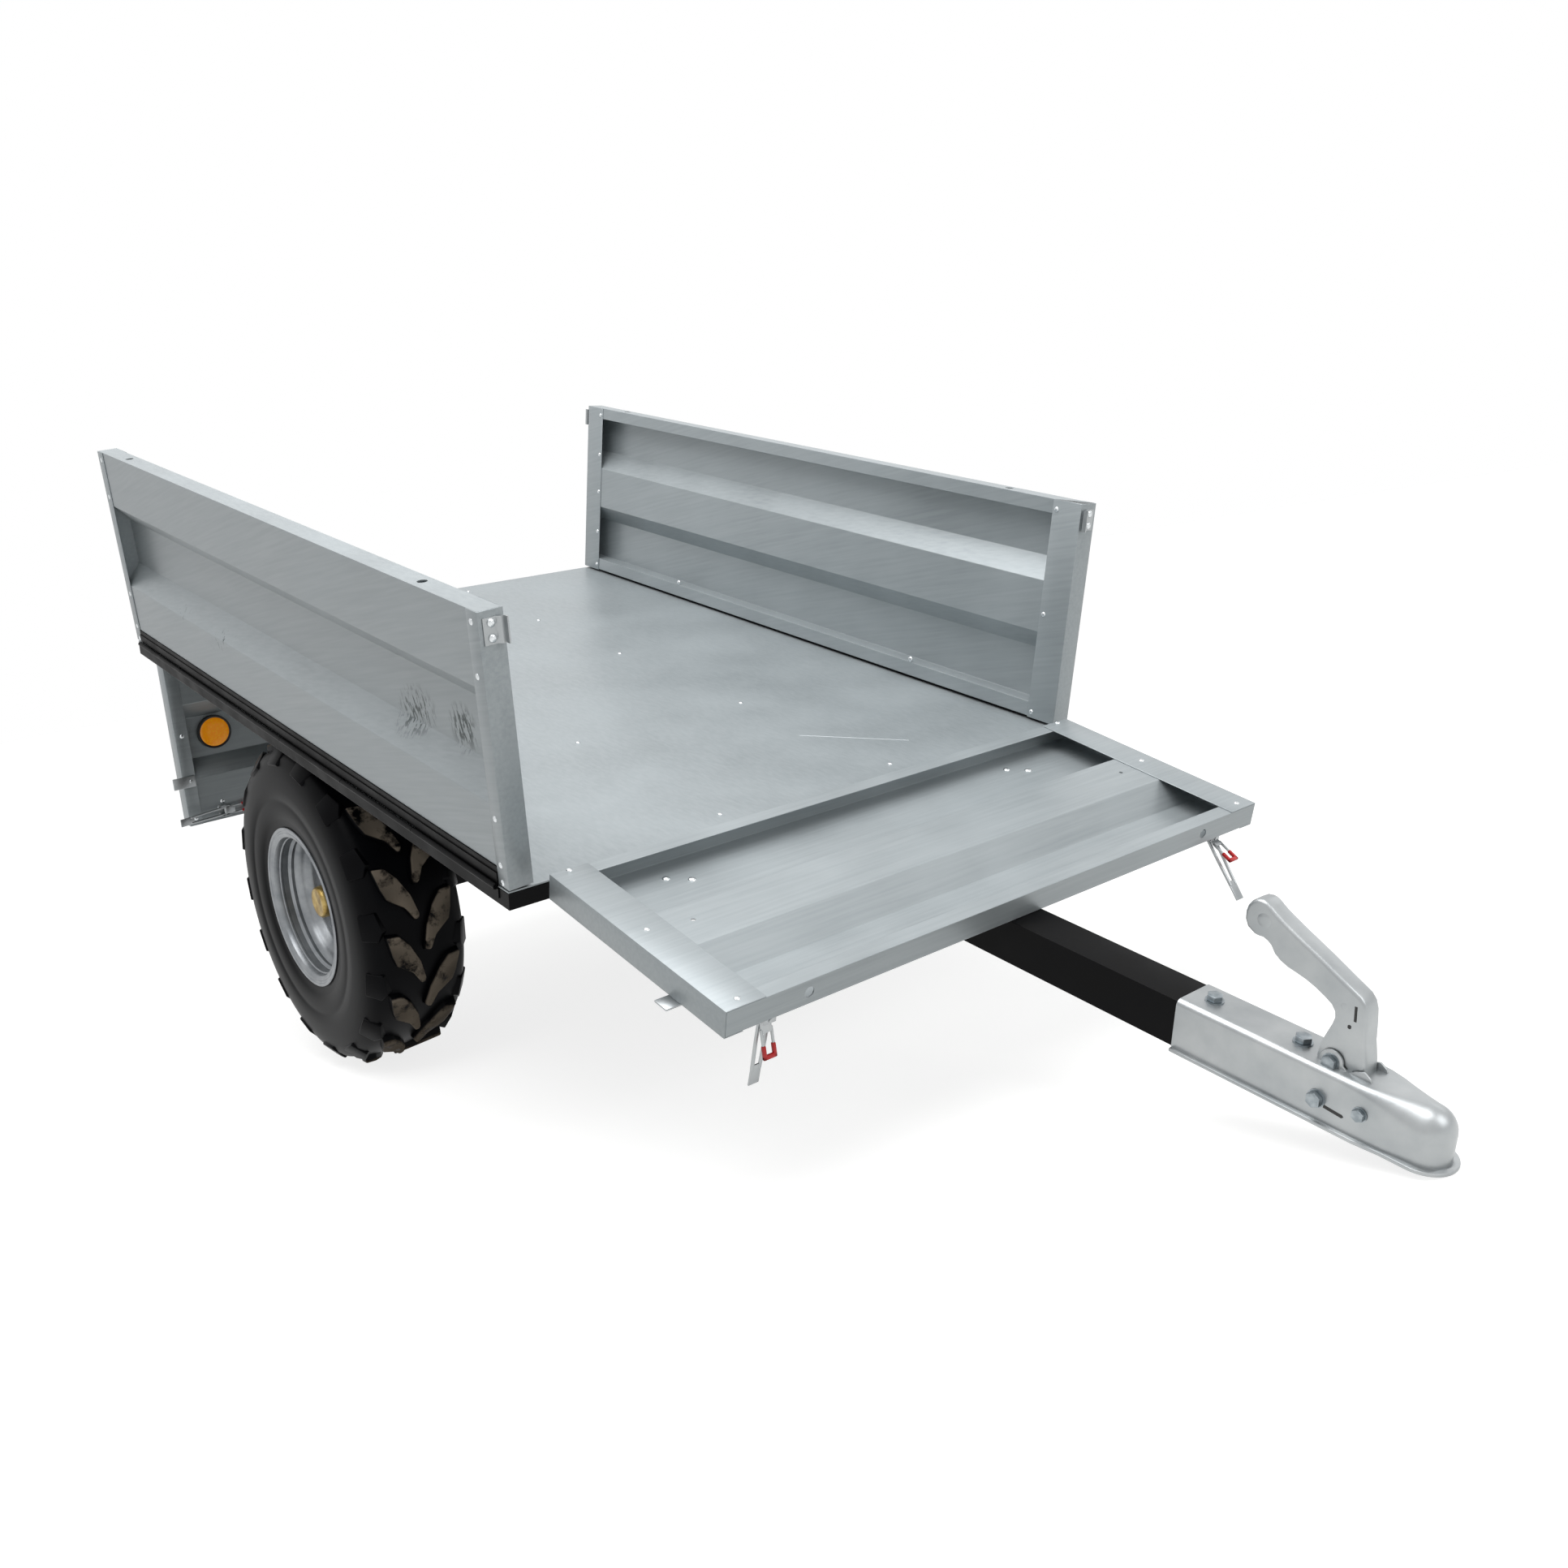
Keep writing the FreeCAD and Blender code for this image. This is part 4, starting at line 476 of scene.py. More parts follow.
# Rivets along the end caps, by the keepers and along the boards' feet
board = {"outside": 538, "inside": 502}
capRivets = {
    "outer": (356, 287, 98, 33, 8), "outerY": 16,
    "innerFront": (355, 181, 12), "innerRear": (355, 267, 183, 91, 14), "innerY": 50,
}
keeperRivets = {"inset": 17, "out": 3, "heights": (355, 336), "radius": 5.5}
footRivets = {"out": 2.5, "places": (347, 1069), "height": 33, "radius": 5.5}
for side in ("left", "right"):
    shape = bmesh.new()
    for end in (0, 1):
        facing = 2 * end - 1
        outerY = abs(end * deck["length"] - capRivets["outerY"])
        innerY = abs(end * deck["length"] - capRivets["innerY"])
        keeperX = board["outside"] - keeperRivets["inset"]
        keeperY = end * deck["length"] + facing * keeperRivets["out"]
        inner = capRivets["innerFront" if (side == "left") == (end == 0) else "innerRear"]
        addRivets(shape, [(board["outside"], outerY, z) for z in capRivets["outer"]], (1, 0, 0),
                  height=rivet["flat"])
        addRivets(shape, [(board["inside"], innerY, z) for z in inner], (-1, 0, 0))
        addRivets(shape, [(keeperX, keeperY, z) for z in keeperRivets["heights"]], (0, facing, 0),
                  keeperRivets["radius"])
    footX = board["inside"] + footRivets["out"]
    addRivets(shape, [(footX, y, footRivets["height"]) for y in footRivets["places"]], (-1, 0, 0),
              footRivets["radius"])
    makePiece(f"sideRivets{side.title()}", f"side_{side}", shape, rivetZinc)

# Rivets in the floor
floorRivets = {"columns": (-168, 168), "rows": (43, 420, 797, 1098, 1397), "radius": 4}
shape = bmesh.new()
addRivets(shape, [(x, y, 0) for x in floorRivets["columns"] for y in floorRivets["rows"]], (0, 0, 1),
          floorRivets["radius"])
makePiece("floorRivets", "bed", shape, rivetZinc)

# Rivets of the gates: end caps, hinge straps and latch bases
gate = {"half": 497, "outer": -0.5, "inner": 35.5, "sheet": 2}
gateRivets = {"innerInset": 27, "outerInset": 14, "heights": (10, 182, 357)}
strapRivets = {"x": 329, "places": ((-14, 46), (14, 66)), "radius": 6}
latchRivets = {"places": ((-8, 345), (8, 345), (0, 334)), "radius": 5}
latch = {
    "x": 423.5, "z": 352.5, "face": 1, "lift": 9,
    "plate": 12, "plateWall": 1.8, "earAt": 10, "earHalf": 0.9, "earWide": 9, "earOut": 13, "pin": 2.6,
    "bail": 100, "half": 7, "wire": 2.4, "hookHalf": 1.2,
    "lever": 52, "webWide": 8, "webOut": 20, "webHalf": 1.5, "armAt": 7.5, "armHalf": 1.6, "armFrom": 14,
    "grip": 34, "dipAt": 7.3, "dipHalf": 2.6, "dipDeep": 2.4, "dipWide": 9.9, "dipEnd": 6,
}
for end in ("front", "rear"):
    shape = bmesh.new()
    for way in (-1, 1):
        innerX = way * (gate["half"] - gateRivets["innerInset"])
        outerX = way * (gate["half"] - gateRivets["outerInset"])
        addRivets(shape, [(innerX, gate["inner"], z) for z in gateRivets["heights"]], (0, 1, 0))
        addRivets(shape, [(outerX, gate["outer"], z) for z in gateRivets["heights"]], (0, -1, 0))
    for way in (-1, 1):
        for across, z in strapRivets["places"]:
            x = way * strapRivets["x"] + across
            addRivets(shape, [(x, -gate["sheet"], z)], (0, -1, 0), strapRivets["radius"])
            addRivets(shape, [(x, gate["sheet"], z)], (0, 1, 0), strapRivets["radius"])
        for across, z in latchRivets["places"]:
            x = way * latch["x"] + across
            addRivets(shape, [(x, gate["sheet"], z)], (0, 1, 0), latchRivets["radius"])
    makePiece(f"{end}GateRivets", f"{end}_gate", shape, rivetZinc)
print("rivets made")


# Toggle latches: a folded base with ears, a red dipped lever and a sprung wire bail with a flat hook
def addLatch(shape, place, leverWay, bailWay):
    base = place @ Matrix.Translation((0, latch["lift"], 0))
    plate, ear = latch["plate"], latch["earHalf"]
    addBlock(shape, (-plate, -latch["plateWall"], -plate), (plate, 0, plate), 0.6, base)
    for side in (-1, 1):
        earAt = side * latch["earAt"]
        low = (-latch["earWide"], -latch["earOut"], earAt - ear)
        addBlock(shape, low, (latch["earWide"], 0, earAt + ear), 0.5, base)
    addBar(shape, place @ Vector((0, 0, -plate)), place @ Vector((0, 0, plate)), latch["pin"], 14)
    bail = place @ bailWay
    half, length, hook = latch["half"], latch["bail"], latch["hookHalf"]
    for side in (-1, 1):
        path = [(side * half, 0, 0), (side * half, -length * 0.35, 0),
                (side * half * 0.8, -length * 0.78, 0)]
        addWire(shape, [bail @ Vector(point) for point in path], latch["wire"])
    addBlock(shape, (-half - 1, -length - 2, -hook), (half + 1, -length * 0.72, hook), 0.9, bail)
    lever = place @ leverWay
    wide, web = latch["webWide"], latch["webHalf"]
    addBlock(shape, (-wide, -latch["webOut"], -web), (wide, 2, web), 0.8, lever)
    grip, tip = -latch["grip"], -latch["lever"]
    arm, dip, deep = latch["armHalf"], latch["dipHalf"], latch["dipDeep"]
    for side in (-1, 1):
        armAt, dipAt = side * latch["armAt"], side * latch["dipAt"]
        addBlock(shape, (armAt - arm, grip - 2, -arm), (armAt + arm, -latch["armFrom"], arm), 0.8, lever)
        addBlock(shape, (dipAt - dip, tip, -deep), (dipAt + dip, grip, deep), 1.6, lever, 1)
    wide = latch["dipWide"]
    addBlock(shape, (-wide, tip, -deep), (wide, tip + latch["dipEnd"], deep), 1.6, lever, 1)


# How the front latches hang open and the rear ones are turned in, in degrees
bailLeans = {1: 44, -1: -6}
latchTurns = {"spread": 24, "off": 12}
tab = {"from": 472, "to": 517, "outer": -3.5, "inner": -0.5, "low": 265.5, "high": 289.5, "rivetX": 481,
       "rivet": 4}
for end in ("front", "rear"):
    shape = bmesh.new()
    for way in (1, -1):
        place = Matrix.Translation((way * latch["x"], latch["face"] - latch["lift"], latch["z"]))
        if end == "front":
            leverWay = Matrix.Rotation(math.radians(-bailLeans[way] - latchTurns["spread"]), 4, "X")
            bailWay = Matrix.Rotation(math.radians(-bailLeans[way]), 4, "X")
        else:
            roll = Matrix.Rotation(math.radians(90), 4, "Y")
            leverWay = Matrix.Rotation(math.radians(-way * 90), 4, "Z") @ roll
            bailWay = Matrix.Rotation(math.radians(way * (90 - latchTurns["off"])), 4, "Z") @ roll
        addLatch(shape, place, leverWay, bailWay)
        tabX = sorted((way * tab["from"], way * tab["to"]))
        tabMiddle = (tab["low"] + tab["high"]) / 2
        addBlock(shape, (tabX[0], tab["outer"], tab["low"]), (tabX[1], tab["inner"], tab["high"]), 1.2)
        addRivets(shape, [(way * tab["rivetX"], tab["outer"], tabMiddle)], (0, -1, 0), tab["rivet"])
    makePiece(f"{end}GateLatchesDetailed", f"{end}_gate", shape, [brightZinc, redVinyl],
              (f"{end}_gate_latches",))
print("latches made")

# Reflectors: a domed amber lens in a dark rim
reflector = {"x": 408, "z": 191.5, "face": 32.5, "radius": 35, "depth": 9}
full = reflector["radius"]
lensRing = [(0.6, 0.01), (0.4, full * 0.4), (0.8, full * 0.75), (2.2, full - 5), (5, full - 4.6), (5, 0.01)]
edgeRing = [(1.6, full - 5), (0.6, full - 3), (0.9, full - 0.6), (9, full), (9, full - 5)]
backRing = [(9, 0.01), (5, 0.01), (5, full - 1), (9, full - 1)]
shape = bmesh.new()
for way in (-1, 1):
    front = reflector["face"] - reflector["depth"]
    spot = Matrix.Translation((way * reflector["x"], front, reflector["z"]))
    place = spot @ Matrix.Rotation(math.radians(90), 4, "Z")
    addSpun(shape, lensRing, 64, False, 0, place)
    addSpun(shape, edgeRing, 64, True, 1, place)
    addSpun(shape, backRing, 48, False, 1, place)
makePiece("reflectorsDetailed", "rear_gate", shape, [amberLens, blackPlasticAndSlotShade], ("rear_gate_reflectors",), 40)

# Wheels: rolled rims with stepped rings, a valve, wheel nuts and the passivated dust cap
rimOuter = [(-90, 141), (-89, 143), (-86.5, 142.5), (-86, 137), (-86.3, 129), (-84, 127), (-66, 127),
            (-60, 125), (-48, 107.5), (-44, 106), (18, 106), (22, 106.8), (40, 124), (46, 127), (84, 127),
            (86.3, 129), (86, 137), (86.5, 142.5), (89, 143), (90, 141)]
rimInner = [(90, 140), (89.6, 138.2), (88, 137), (87.6, 134), (88.6, 132.6), (88.2, 130.6), (86.6, 128.6),
            (85.4, 125.6), (82, 124), (76, 123.5), (74.5, 121.8), (72, 121.8), (70, 123.5), (60, 123.5),
            (57, 121), (55.5, 119.4), (52, 119.4), (50, 120.6), (46.5, 117), (43, 113.6), (38, 112.4),
            (33, 110), (26, 104.5), (20, 102.5), (-43, 102.5), (-46, 104), (-60, 121.5), (-66, 123.5),
            (-85, 123.5), (-88.5, 126.5), (-90, 130)]
discRing = [(15, 31.3), (15, 42), (17.5, 47), (17.5, 84), (15, 92), (15, 104), (20, 104), (20.4, 92),
            (22.5, 84), (22.5, 47), (20, 42), (20, 31.3)]
discInset = 2.5
capRing = [(20, 27.5), (24, 28.5), (50, 28.5), (56, 27.6), (59, 25), (60, 21), (59.2, 17), (58.4, 0.01)]
collarRing = [(20, 30), (20, 28), (26, 28), (26, 29.6), (25, 30)]
nut = {"count": 4, "first": 45, "ring": 57, "seat": 20, "flats": 17, "height": 9, "washer": 2,
       "stud": 5.5, "studFrom": 29, "studTo": 36}
valve = {"root": 112, "tip": 99, "turn": math.radians(42), "radius": 4.6, "from": 46, "to": 74,
         "foot": 8, "footFrom": 40, "footTo": 52, "footSlant": 0.98}
for side, way in (("left", 1), ("right", -1)):
    shape = bmesh.new()
    addSpun(shape, rimOuter + rimInner, 120)
    addSpun(shape, [(x - discInset, radius) for x, radius in discRing], 96)
    for number in range(nut["count"]):
        angle = math.radians(nut["first"] + 360 / nut["count"] * number)
        y, z = nut["ring"] * math.sin(angle), nut["ring"] * math.cos(angle)
        addHexHead(shape, (nut["seat"], y, z), (1, 0, 0), nut["flats"], nut["height"], nut["washer"])
        addBar(shape, (nut["studFrom"], y, z), (nut["studTo"], y, z), nut["stud"], 16, 0.8)
    up, ahead = math.cos(valve["turn"]), math.sin(valve["turn"]) * -way
    rootY, rootZ = valve["root"] * ahead, valve["root"] * up
    tipY, tipZ = valve["tip"] * ahead, valve["tip"] * up
    slant = valve["footSlant"]
    addBar(shape, (valve["from"], rootY, rootZ), (valve["to"], tipY, tipZ), valve["radius"], 14, 1, 1)
    addBar(shape, (valve["footFrom"], rootY, rootZ), (valve["footTo"], rootY * slant, rootZ * slant),
           valve["foot"], 18, 1.5, 1)
    makePiece(f"rimDetailed{side.title()}", f"wheel_{side}", shape, [silverPaintShaded, blackPlasticAndSlotShade],
              (f"rim_{side}",))
    shape = bmesh.new()
    addSpun(shape, capRing, 72, False)
    addSpun(shape, collarRing, 72)
    makePiece(f"dustCapDetailed{side.title()}", f"wheel_{side}", shape, yellowZinc, (f"dust_cap_{side}",))
print("rims made")

# Tyres: a smooth carcass with moulded side rings, then four rows of bevelled lugs as in the solids
tyre = {"radius": 297, "crown": 282, "half": 95, "count": 16, "sag": 3, "root": 8}
carcass = [(40, 282), (60, 279.5), (74, 275), (83, 266), (89.5, 252), (93, 235), (94.6, 215), (94.3, 198),
           (93.4, 196), (93.2, 190), (93.8, 187), (92.6, 172), (90.6, 160), (89, 157), (88.6, 150),
           (87, 145), (86.2, 140), (86.2, 128), (84, 127.3), (78, 127.3), (78, 150), (84, 200), (70, 262),
           (40, 268)]
middleLug = [(0.66, -0.41), (0.44, -0.39), (0.26, -0.22), (0.09, 0.06), (0.015, 0.34), (0.035, 0.4),
             (0.1, 0.41), (0.24, 0.22), (0.53, 0.05), (0.6, -0.12)]
shoulderLug = [(0, 0.07), (0.1, -0.22), (0.44, -0.19), (0.44, 0.19), (0.13, 0.22)]
lugRows = [
    # outline, start from the middle, lean in degrees, drop below the crown, turn after the middle row
    (middleLug, 0, 4, 0, 0),
    (shoulderLug, 66, 50, 6, 48 / tyre["radius"]),
]
lugPitch = 2 * math.pi * tyre["radius"] / tyre["count"]


def addLug(shape, points, startX, lean, drop, mirror, angle, forward):
    part = bmesh.new()
    foot = tyre["crown"] - drop - tyre["root"]
    top = tyre["radius"] - tyre["sag"] - drop
    centreX = startX + tyre["half"] * sum(x for x, y in points) / len(points)
    rings = []
    for level, spread in ((foot, 1.06), (top, 0.97)):
        ring = []
        for x, y in points:
            spotX = centreX + (startX + x * tyre["half"] - centreX) * spread
            ring.append(part.verts.new((spotX, -y * lugPitch * forward * spread, level)))
        rings.append(ring)
    part.faces.new(rings[1])
    part.faces.new(rings[0])
    for number, spot in enumerate(rings[0]):
        after = (number + 1) % len(points)
        part.faces.new((spot, rings[0][after], rings[1][after], rings[1][number]))
    bmesh.ops.recalc_face_normals(part, faces=part.faces[:])
    topEdges = [edge for edge in part.edges if edge.verts[0].co.z > top - 1 and edge.verts[1].co.z > top - 1]
    upright = [edge for edge in part.edges if abs(edge.verts[0].co.z - edge.verts[1].co.z) > 5]
    bevelEdges(part, upright + topEdges, 2.2)
    start = Matrix.Translation((startX, 0, top))
    leaning = start @ Matrix.Rotation(math.radians(lean), 4, "Y") @ start.inverted()
    place = Matrix.Rotation(angle * forward, 4, "X") @ Matrix.Diagonal((mirror, 1, 1, 1)) @ leaning
    joinShape(shape, part, place)


for side, forward in (("left", 1), ("right", -1)):
    shape = bmesh.new()
    addSpun(shape, carcass + [(-x, radius) for x, radius in reversed(carcass)], 128)
    step = 2 * math.pi / tyre["count"]
    for number in range(tyre["count"]):
        for mirror, half in ((1, 0), (-1, step / 2)):
            for points, startX, lean, drop, turn in lugRows:
                addLug(shape, points, startX, lean, drop, mirror, number * step + half + turn, forward)
    makePiece(f"tyreDetailed{side.title()}", f"wheel_{side}", shape, tyreRubber, (f"tyre_{side}",), 40)
print("tyres made")

# Coupler shell: an arched section carried forward, narrowed to the head and closed by a dome over the ball
shell = {"foot": -100, "ball": -945, "ballZ": -67, "head": 28.4, "wall": 2.9}
stations = [
    # place, half width, top, corner radius
    (-651, 33.3, -36.7, 8), (-660, 33.3, -36.7, 8), (-860, 33.3, -36.7, 8), (-884, 33, -36.9, 10),
    (-900, 32.2, -37.4, 14), (-914, 31, -38, 19), (-930, 29.6, -38.4, 24), (-945, 28.4, -38.6, 28),
]
for number in range(1, 10):
    angle = math.radians(number * 9.7)
    half = shell["head"] * math.cos(angle)
    place = shell["ball"] - shell["head"] * math.sin(angle)
    stations.append((place, half, shell["ballZ"] + half, half * 0.985))
shape = bmesh.new()
loops = []
for y, half, top, corner in stations:
    ring = [(half, shell["foot"]), (half, (top - corner + shell["foot"]) / 2), (half, top - corner)]
    for number in range(1, 8):
        angle = math.radians(number * 90 / 8)
        ring.append((half - corner + corner * math.cos(angle), top - corner + corner * math.sin(angle)))
    ring.append((half - corner, top))
    arch = ring + [(-x, z) for x, z in reversed(ring)]
    loops.append([shape.verts.new((x, y, z)) for x, z in arch])
for first, second in zip(loops, loops[1:]):
    for number in range(len(first) - 1):
        shape.faces.new((first[number], first[number + 1], second[number + 1], second[number]))
shape.faces.new(loops[-1])
bmesh.ops.recalc_face_normals(shape, faces=shape.faces[:])
bmesh.ops.solidify(shape, geom=shape.faces[:], thickness=shell["wall"])
# Rolled flange round the foot
flange = {"outer": 36, "inner": 26, "low": -103, "high": -98.2}
plan = []
for number in range(25):
    angle = math.radians(180 + number * 180 / 24)
    plan.append((flange["outer"] * math.cos(angle), shell["ball"] + flange["outer"] * math.sin(angle)))
plan += [(36, -915), (39.2, -885), (39.3, -651.5), (30.6, -651.5), (30.6, -885), (28.4, -915)]
for degrees in range(0, 181, 12):
    angle = math.radians(-degrees)
    plan.append((flange["inner"] * math.cos(angle), shell["ball"] + flange["inner"] * math.sin(angle)))
plan += [(-28.4, -915), (-30.6, -885), (-30.6, -651.5), (-39.3, -651.5), (-39.2, -885), (-36, -915)]
addPrism(shape, plan, flange["low"], flange["high"], width=1.6)
# Ears, round over the pivot and cut off square in front
ear = {"y": -838, "z": -33, "radius": 14, "inner": 14.6, "outer": 17.4}
earPlan = []
for degrees in range(0, 181, 15):
    angle = math.radians(degrees)
    earPlan.append((ear["y"] + ear["radius"] * math.cos(angle), ear["z"] + ear["radius"] * math.sin(angle)))
earPlan += [(-858, -38), (-866, -32), (-876, -28), (-884, -33), (-888, -42), (-821, -44)]
turnSide = Matrix(((0, 0, 1, 0), (1, 0, 0, 0), (0, 1, 0, 0), (0, 0, 0, 1)))
for way in (-1, 1):
    low, high = sorted((way * ear["inner"], way * ear["outer"]))
    addPrism(shape, earPlan, low, high, turnSide, 0.8)
# Hexagon bolts on the top and the sides, with washers
topBolts = {"rows": (-679, -794), "z": -36.8, "flats": 17, "height": 7}
for y in topBolts["rows"]:
    addHexHead(shape, (0, y, topBolts["z"]), (0, 0, 1), topBolts["flats"], topBolts["height"], finish=1)
sideBolts = [
    # out, place, height, across flats, head, washer
    (33.2, -837, -73, 16, 7, 1.6), (33, -886.5, -68, 13, 5, 1), (17.4, -838, -33, 15, 6, 1.5),
]
for way in (-1, 1):
    for out, y, z, flats, head, washer in sideBolts:
        addHexHead(shape, (way * out, y, z), (way, 0, 0), flats, head, washer, 1)
makePiece("couplerDetailed", "chassis", shape, [brightZinc, boltZinc], ("coupler_body", "coupler_pins"), 40)
# The long slot between the side bolts: a thin black plate, painted shade inside the opening
slot = {"shell": (33.1, 33.5), "handle": (13.3, 13.8)}
slotPlan = [(-846, -76.5), (-868, -78.5), (-870, -80.5), (-868, -82.5), (-846, -80.5)]
shape = bmesh.new()
for way in (-1, 1):
    low, high = sorted(way * x for x in slot["shell"])
    addPrism(shape, slotPlan, low, high, turnSide)
makePiece("couplerSlotShade", "chassis", shape, blackPlasticAndSlotShade)

# Handle: a deep pressed channel with a rounded ridge, two round bosses and two slots a side
handle = {"pivotY": -838, "pivotZ": -33, "half": 13.5, "wall": 2.4, "ridge": 4.5, "bossX": 12.6}
handleTop = [(-38, -8.8), (-36, 11), (-31.5, 32), (-29.5, 54), (-27.5, 68), (-24, 77), (-18, 83.5),
             (6, 95.5), (33, 109.3), (63, 123.5), (82, 133), (92, 138.5), (98, 142.5), (104, 146.5),
             (110, 148), (117, 146.8), (123, 142.5), (127, 136), (128.8, 128), (128.3, 119),
             (124, 110.5), (117, 106.5)]
handleFoot = [(108, 106.3), (102, 106.8), (96, 104.5), (91, 100.9), (85.6, 93.2), (78, 88), (68, 84),
              (56, 81.5), (45, 78.8), (33, 74.5), (21, 68.7), (12, 63.5), (7, 57), (5.8, 50), (7.5, 42),
              (11, 32), (15, 20), (17.5, 8), (18.5, -2), (16, -8.8)]
shape = bmesh.new()
spots = [(handle["pivotY"] + back, handle["pivotZ"] + up) for back, up in handleTop + handleFoot]
rings = {}
for way in (-1, 1):
    rings[way] = [shape.verts.new((way * handle["half"], y, z)) for y, z in spots]
    shape.faces.new(rings[way])
for number in range(len(handleTop) - 1):
    shape.faces.new((rings[-1][number], rings[-1][number + 1], rings[1][number + 1], rings[1][number]))
shape.faces.new((rings[-1][-1], rings[-1][0], rings[1][0], rings[1][-1]))
bmesh.ops.recalc_face_normals(shape, faces=shape.faces[:])
ridge = [edge for edge in shape.edges if len(edge.link_faces) == 2 and
         abs(edge.verts[0].co.x) > 13 and abs(edge.verts[0].co.x - edge.verts[1].co.x) < 1]
bevelEdges(shape, ridge, handle["ridge"], 4)
bmesh.ops.recalc_face_normals(shape, faces=shape.faces[:])
bmesh.ops.solidify(shape, geom=shape.faces[:], thickness=handle["wall"])
for way in (-1, 1):
    for back, up, radius in ((104, 126, 9.5), (-2, 67, 6)):
        boss = bmesh.new()
        bmesh.ops.create_uvsphere(boss, u_segments=28, v_segments=12, radius=radius)
        spot = (way * handle["bossX"], handle["pivotY"] + back, handle["pivotZ"] + up)
        joinShape(shape, boss, Matrix.Translation(spot) @ Matrix.Diagonal((0.2, 1, 1, 1)))
makePiece("handleDetailed", "chassis", shape, brightZinc, ("coupler_handle",), 45)
# Two slots a side in the handle, drawn as thin black plates: painted shade inside the openings
handleSlotShade = [
    [(-16.6, 72.5), (-13.6, 72.3), (-15.2, 54.8), (-18.2, 55)],
    [(-13.5, 45), (-11.5, 44), (-9.5, 45), (-9.5, 48), (-11.5, 49), (-13.5, 48)],
]
shape = bmesh.new()
for way in (-1, 1):
    low, high = sorted(way * x for x in slot["handle"])
    for points in handleSlotShade:
        place = [(handle["pivotY"] + back, handle["pivotZ"] + up) for back, up in points]
        addPrism(shape, place, low, high, turnSide)
makePiece("handleSlotShade", "chassis", shape, blackPlasticAndSlotShade)
print("coupler and handle made")

# A thin bright scratch on the floor sheet
scratch = {"start": (140, 229, 0.02), "end": (267, 103, 0.02), "radius": 0.3}
shape = bmesh.new()
addBar(shape, scratch["start"], scratch["end"], scratch["radius"], 6)
scratchBright, shader, coords = newMaterial("scratchedZinc", Base_Color=linear("#C2C8CA"), Metallic=0.6,
                                            Roughness=0.35)
makePiece("floorScratch", "bed", shape, scratchBright)

# Camera at the photograph's place, in the frame the trailer is parked in
view = {"place": (-1.37585, -1.9945, 0.73248), "turn": (0.692980, 0.640505, -0.147538, -0.296251),
        "lens": 34.3296, "shift": (0.02143, -0.00311)}
camera = bpy.data.objects.new("camera", bpy.data.cameras.new("camera"))
bpy.context.scene.collection.objects.link(camera)
camera.location = view["place"]
camera.rotation_mode = "QUATERNION"
camera.rotation_quaternion = view["turn"]
camera.data.sensor_width = 36
camera.data.lens = view["lens"]
camera.data.shift_x, camera.data.shift_y = view["shift"]
camera.data.clip_end = 100
bpy.context.scene.camera = camera

# Plain pale floor under the tyres and the coupler's nose
studio = {"floor": 30, "floorColour": "#A6A6A4", "glow": 0.8, "air": "#FBFCFD", "airStrength": 0.36}
floorShape = bmesh.new()
bmesh.ops.create_grid(floorShape, x_segments=1, y_segments=1, size=studio["floor"])
floorMesh = bpy.data.meshes.new("studioFloor")
floorShape.to_mesh(floorMesh)
floorShape.free()
floor = bpy.data.objects.new("studioFloor", floorMesh)
bpy.context.scene.collection.objects.link(floor)
floorPaint = bpy.data.materials.new("paleStudioFloor")
floorPaint.use_nodes = True
floorShader = floorPaint.node_tree.nodes["Principled BSDF"]
floorShader.inputs["Base Color"].default_value = linear(studio["floorColour"])
floorShader.inputs["Roughness"].default_value = 0.9
floorShader.inputs["Emission Color"].default_value = (1, 1, 1, 1)
floorPaths = addNode(floorPaint, "ShaderNodeLightPath")
seenBy = {0: floorPaths.outputs["Is Camera Ray"], 1: floorPaths.outputs["Is Glossy Ray"]}
seen = addNode(floorPaint, "ShaderNodeMath", None, seenBy, operation="MAXIMUM")
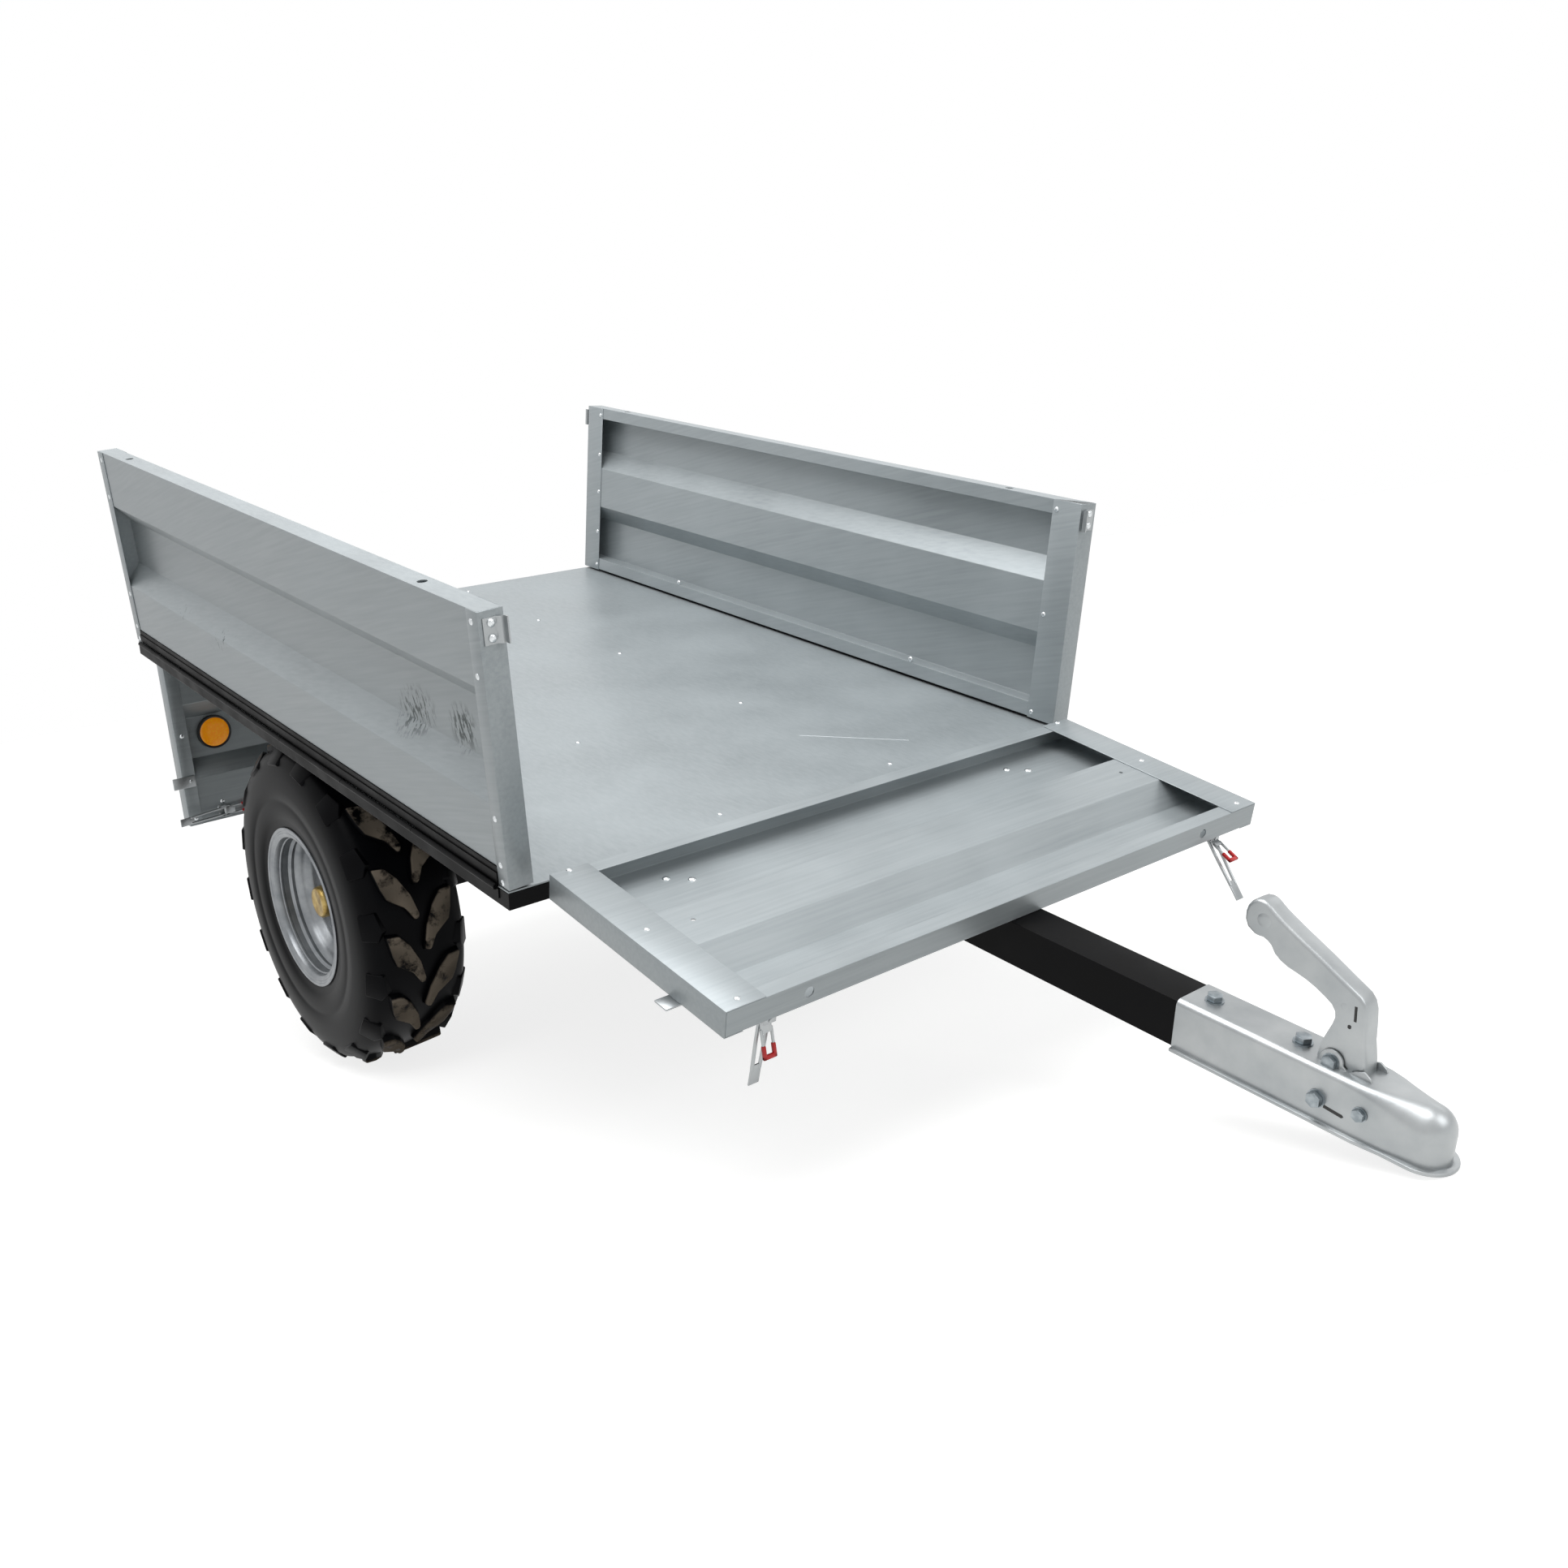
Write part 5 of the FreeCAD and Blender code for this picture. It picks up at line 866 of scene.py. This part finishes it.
glow = addNode(floorPaint, "ShaderNodeMath", {1: studio["glow"]}, {0: seen.outputs[0]}, operation="MULTIPLY")
wire(floorPaint, glow.outputs[0], floorShader, "Emission Strength")
floorMesh.materials.append(floorPaint)

# Soft studio light: a pale surround, a large panel overhead, one in front and a faint one at the side
lights = {
    "overhead": {"place": (-0.5, -0.4, 3.4), "aim": (0, 0.2, 0.3), "size": 3.2, "power": 130},
    "front": {"place": (1.0, -4.2, 2.4), "aim": (0, -0.2, 0.4), "size": 2.4, "power": 42},
    "side": {"place": (3.4, -1.2, 2.0), "aim": (0, 0, 0.4), "size": 2.0, "power": 8},
}
for name, light in lights.items():
    lamp = bpy.data.lights.new(name, "AREA")
    lamp.shape = "SQUARE"
    lamp.size = light["size"]
    lamp.energy = light["power"]
    holder = bpy.data.objects.new(name, lamp)
    holder.location = light["place"]
    aim = Vector(light["aim"]) - Vector(light["place"])
    holder.rotation_mode = "QUATERNION"
    holder.rotation_quaternion = aim.to_track_quat("-Z", "Y")
    bpy.context.scene.collection.objects.link(holder)
world = bpy.data.worlds.new("studio")
bpy.context.scene.world = world
world.use_nodes = True
tree = world.node_tree
background = tree.nodes["Background"]
background.inputs["Color"].default_value = linear(studio["air"])
background.inputs["Strength"].default_value = studio["airStrength"]
white = addNode(world, "ShaderNodeBackground", {"Color": (1, 1, 1, 1), "Strength": 1.0})
# Pure white to the camera, through glass and in reflections
paths = addNode(world, "ShaderNodeLightPath")
either = addNode(world, "ShaderNodeMath", None,
                 {0: paths.outputs["Is Camera Ray"], 1: paths.outputs["Is Transmission Ray"]},
                 operation="MAXIMUM")
anyOf = addNode(world, "ShaderNodeMath", None, {0: either.outputs[0], 1: paths.outputs["Is Glossy Ray"]},
                operation="MAXIMUM")
mixed = addNode(world, "ShaderNodeMixShader", None,
                {0: anyOf.outputs[0], 1: background.outputs[0], 2: white.outputs[0]})
tree.links.new(mixed.outputs[0], tree.nodes["World Output"].inputs["Surface"])
bpy.context.scene.view_settings.view_transform = "Standard"
print("camera, floor and lights made")
